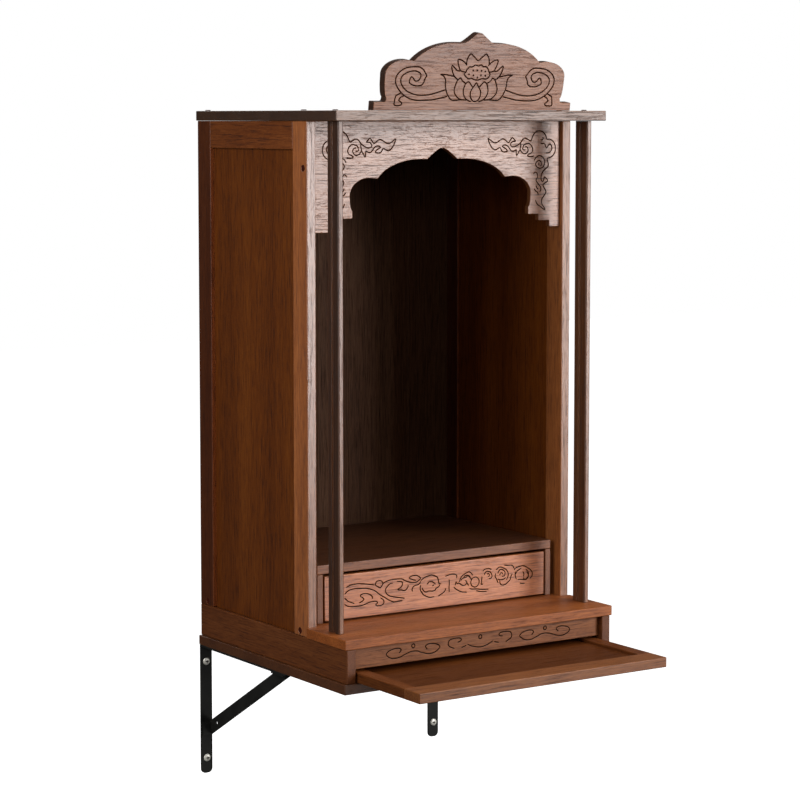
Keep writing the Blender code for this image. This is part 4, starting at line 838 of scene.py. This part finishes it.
# plugs, caps and screws
for tag, sign in (("left", -1), ("right", 1)):
    for word in ("rear", "front", "top"):
        name = tag + "_" + word + "_plug"
        lo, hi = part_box(name)
        c = (lo + hi) / 2
        r = (hi.z - lo.z) / 2
        depth = hi.x - lo.x
        profile = [(r, -depth), (r, -0.0006), (r * 0.93, -0.0002), (r * 0.55, 0.0)]
        start = (hi.x if sign > 0 else lo.x, c.y, c.z)
        plug = lathe(name + "_disc", start, "X", sign, profile, plug_wood)
        settle(soften(plug, 50), "cabinet", "dark_plug", name)
    for word in ("rear", "stile", "column"):
        name = tag + "_" + word + "_cap"
        lo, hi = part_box(name)
        c = (lo + hi) / 2
        r = (hi.y - lo.y) / 2
        h = hi.z - lo.z
        profile = [(r, 0.0), (r, h * 0.55), (r * 0.9, h * 0.85), (r * 0.6, h)]
        cap = lathe(name + "_disc", (c.x, c.y, lo.z), "Z", 1, profile, plug_wood)
        settle(soften(cap, 50), "cabinet", "dark_plug", name)
    for word in ("upper", "lower"):
        name = tag + "_" + word + "_screw"
        lo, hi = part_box(name)
        c = (lo + hi) / 2
        r = (hi.x - lo.x) / 2
        h = SCREW_SEAT - lo.y
        profile = [(SCREW_SHANK, hi.y - SCREW_SEAT), (SCREW_SHANK, 0.0), (r, 0.0),
            (r, -0.12 * h), (r * 0.95, -0.38 * h), (r * 0.82, -0.66 * h), (r * 0.62, -0.88 * h),
            (r * 0.30, -h)]
        head = lathe(name + "_head", (c.x, SCREW_SEAT, c.z), "Y", 1, profile, zinc, 36)
        a = CROSS_HALF
        b = CROSS_REACH
        plus = [(a, a), (a, b), (-a, b), (-a, a), (-b, a), (-b, -a), (-a, -a), (-a, -b), (a, -b),
            (a, -a), (b, -a), (b, a)]
        outline = [(c.x + u, c.z + v) for u, v in plus]
        recess = prism(name + "_cross", outline, lo.y - 0.001, lo.y + CROSS_DEPTH, burnt)
        cut(head, recess, False)
        settle(soften(head, 35), "cabinet", "screw_zinc", name)

# materials of the CAD nodes that stay
finish = {wood_plain: ["bottom_board", "base_rear_rail", "drawer_back", "drawer_floor"],
    wood_top: ["top_board"],
    wood_platform: ["platform_board"],
    wood_shelf: ["step_shelf"],
    wood_step: ["left_step_side", "right_step_side", "drawer_left_side", "drawer_right_side"],
    wood_tray: ["tray_panel"],
    wood_tray_x: ["tray_front_rail", "tray_rear_rail"],
    wood_tray_y: ["tray_left_rail", "tray_right_rail"],
    wood_base: ["left_base_side", "right_base_side"],
    wood_rail: ["left_top_rail", "right_top_rail"],
    wood_rear: ["left_rear_stile", "right_rear_stile"],
    wood_stile: ["left_front_stile"],
    wood_stile_right: ["right_front_stile"],
    wood_panel: ["left_side_panel", "right_side_panel"],
    wood_column: ["left_column"],
    wood_column_right: ["right_column"],
    wood_back: ["back_panel"],
    steel: ["left_bracket", "right_bracket", "left_brace", "right_brace"]}
for mat, names in finish.items():
    for name in names:
        for socket in nodes[name].material_slots:
            socket.material = mat


# floor, lights and camera
def plane(name, size, z, mat):
    verts = [(-size, -size, z), (size, -size, z), (size, size, z), (-size, size, z)]
    return new_object(name, verts, [(0, 1, 2, 3)], mat)


t = Tree("studio_floor")
t.shader.inputs["Base Color"].default_value = (0.9, 0.9, 0.9, 1.0)
t.shader.inputs["Roughness"].default_value = 0.9
t.shader.inputs["Emission Color"].default_value = (1.0, 1.0, 1.0, 1.0)
t.shader.inputs["Emission Strength"].default_value = 1.05
floor = plane("studio_floor", 14.0, FLOOR_LEVEL, t.mat)
floor.visible_diffuse = False
floor.visible_glossy = False


def softbox(name, place, target, width, height, power):
    light = bpy.data.lights.new(name, "AREA")
    light.shape = "RECTANGLE"
    light.size = width
    light.size_y = height
    light.energy = power
    obj = bpy.data.objects.new(name, light)
    obj.location = place
    way = Vector(target) - Vector(place)
    obj.rotation_euler = way.to_track_quat("-Z", "Y").to_euler()
    obj.visible_camera = False
    bpy.context.scene.collection.objects.link(obj)


softbox("key_light", (1.70, -2.85, 0.80), (0.0, -0.32, 0.45),
    width=1.3, height=2.0, power=112)
softbox("fill_light", (-2.4, -0.75, 1.1), (0.0, -0.2, 0.35),
    width=1.4, height=1.4, power=42)
softbox("front_light", (-1.7, -3.1, 1.3), (0.0, -0.2, 0.4),
    width=1.0, height=1.0, power=10)
softbox("top_light", (0.2, -0.9, 2.6), (0.0, -0.3, 0.3),
    width=2.0, height=1.4, power=46)
softbox("rear_light", (0.6, 2.4, 1.2), (0.0, 0.0, 0.4),
    width=1.8, height=1.4, power=25)

world = bpy.data.worlds.new("studio_world")
bpy.context.scene.world = world
world.use_nodes = True
tree = world.node_tree
back = tree.nodes["Background"]
back.inputs[0].default_value = (1.0, 1.0, 1.0, 1.0)
back.inputs[1].default_value = 0.05
seen = tree.nodes.new("ShaderNodeBackground")
seen.inputs[0].default_value = (1.0, 1.0, 1.0, 1.0)
seen.inputs[1].default_value = 1.0
path = tree.nodes.new("ShaderNodeLightPath")
mix = tree.nodes.new("ShaderNodeMixShader")
tree.links.new(path.outputs["Is Camera Ray"], mix.inputs[0])
tree.links.new(back.outputs[0], mix.inputs[1])
tree.links.new(seen.outputs[0], mix.inputs[2])
tree.links.new(mix.outputs[0], tree.nodes["World Output"].inputs[0])

lens = bpy.data.cameras.new("studio_camera")
lens.sensor_width = CAMERA_SENSOR
lens.lens = CAMERA_LENS
lens.shift_y = CAMERA_SHIFT
lens.clip_end = 60.0
camera = bpy.data.objects.new("studio_camera", lens)
camera.location = CAMERA_PLACE
camera.rotation_euler = (math.radians(90 - CAMERA_DIP), 0.0, math.radians(CAMERA_HEADING))
bpy.context.scene.collection.objects.link(camera)
bpy.context.scene.camera = camera
bpy.context.scene.view_settings.view_transform = "Standard"
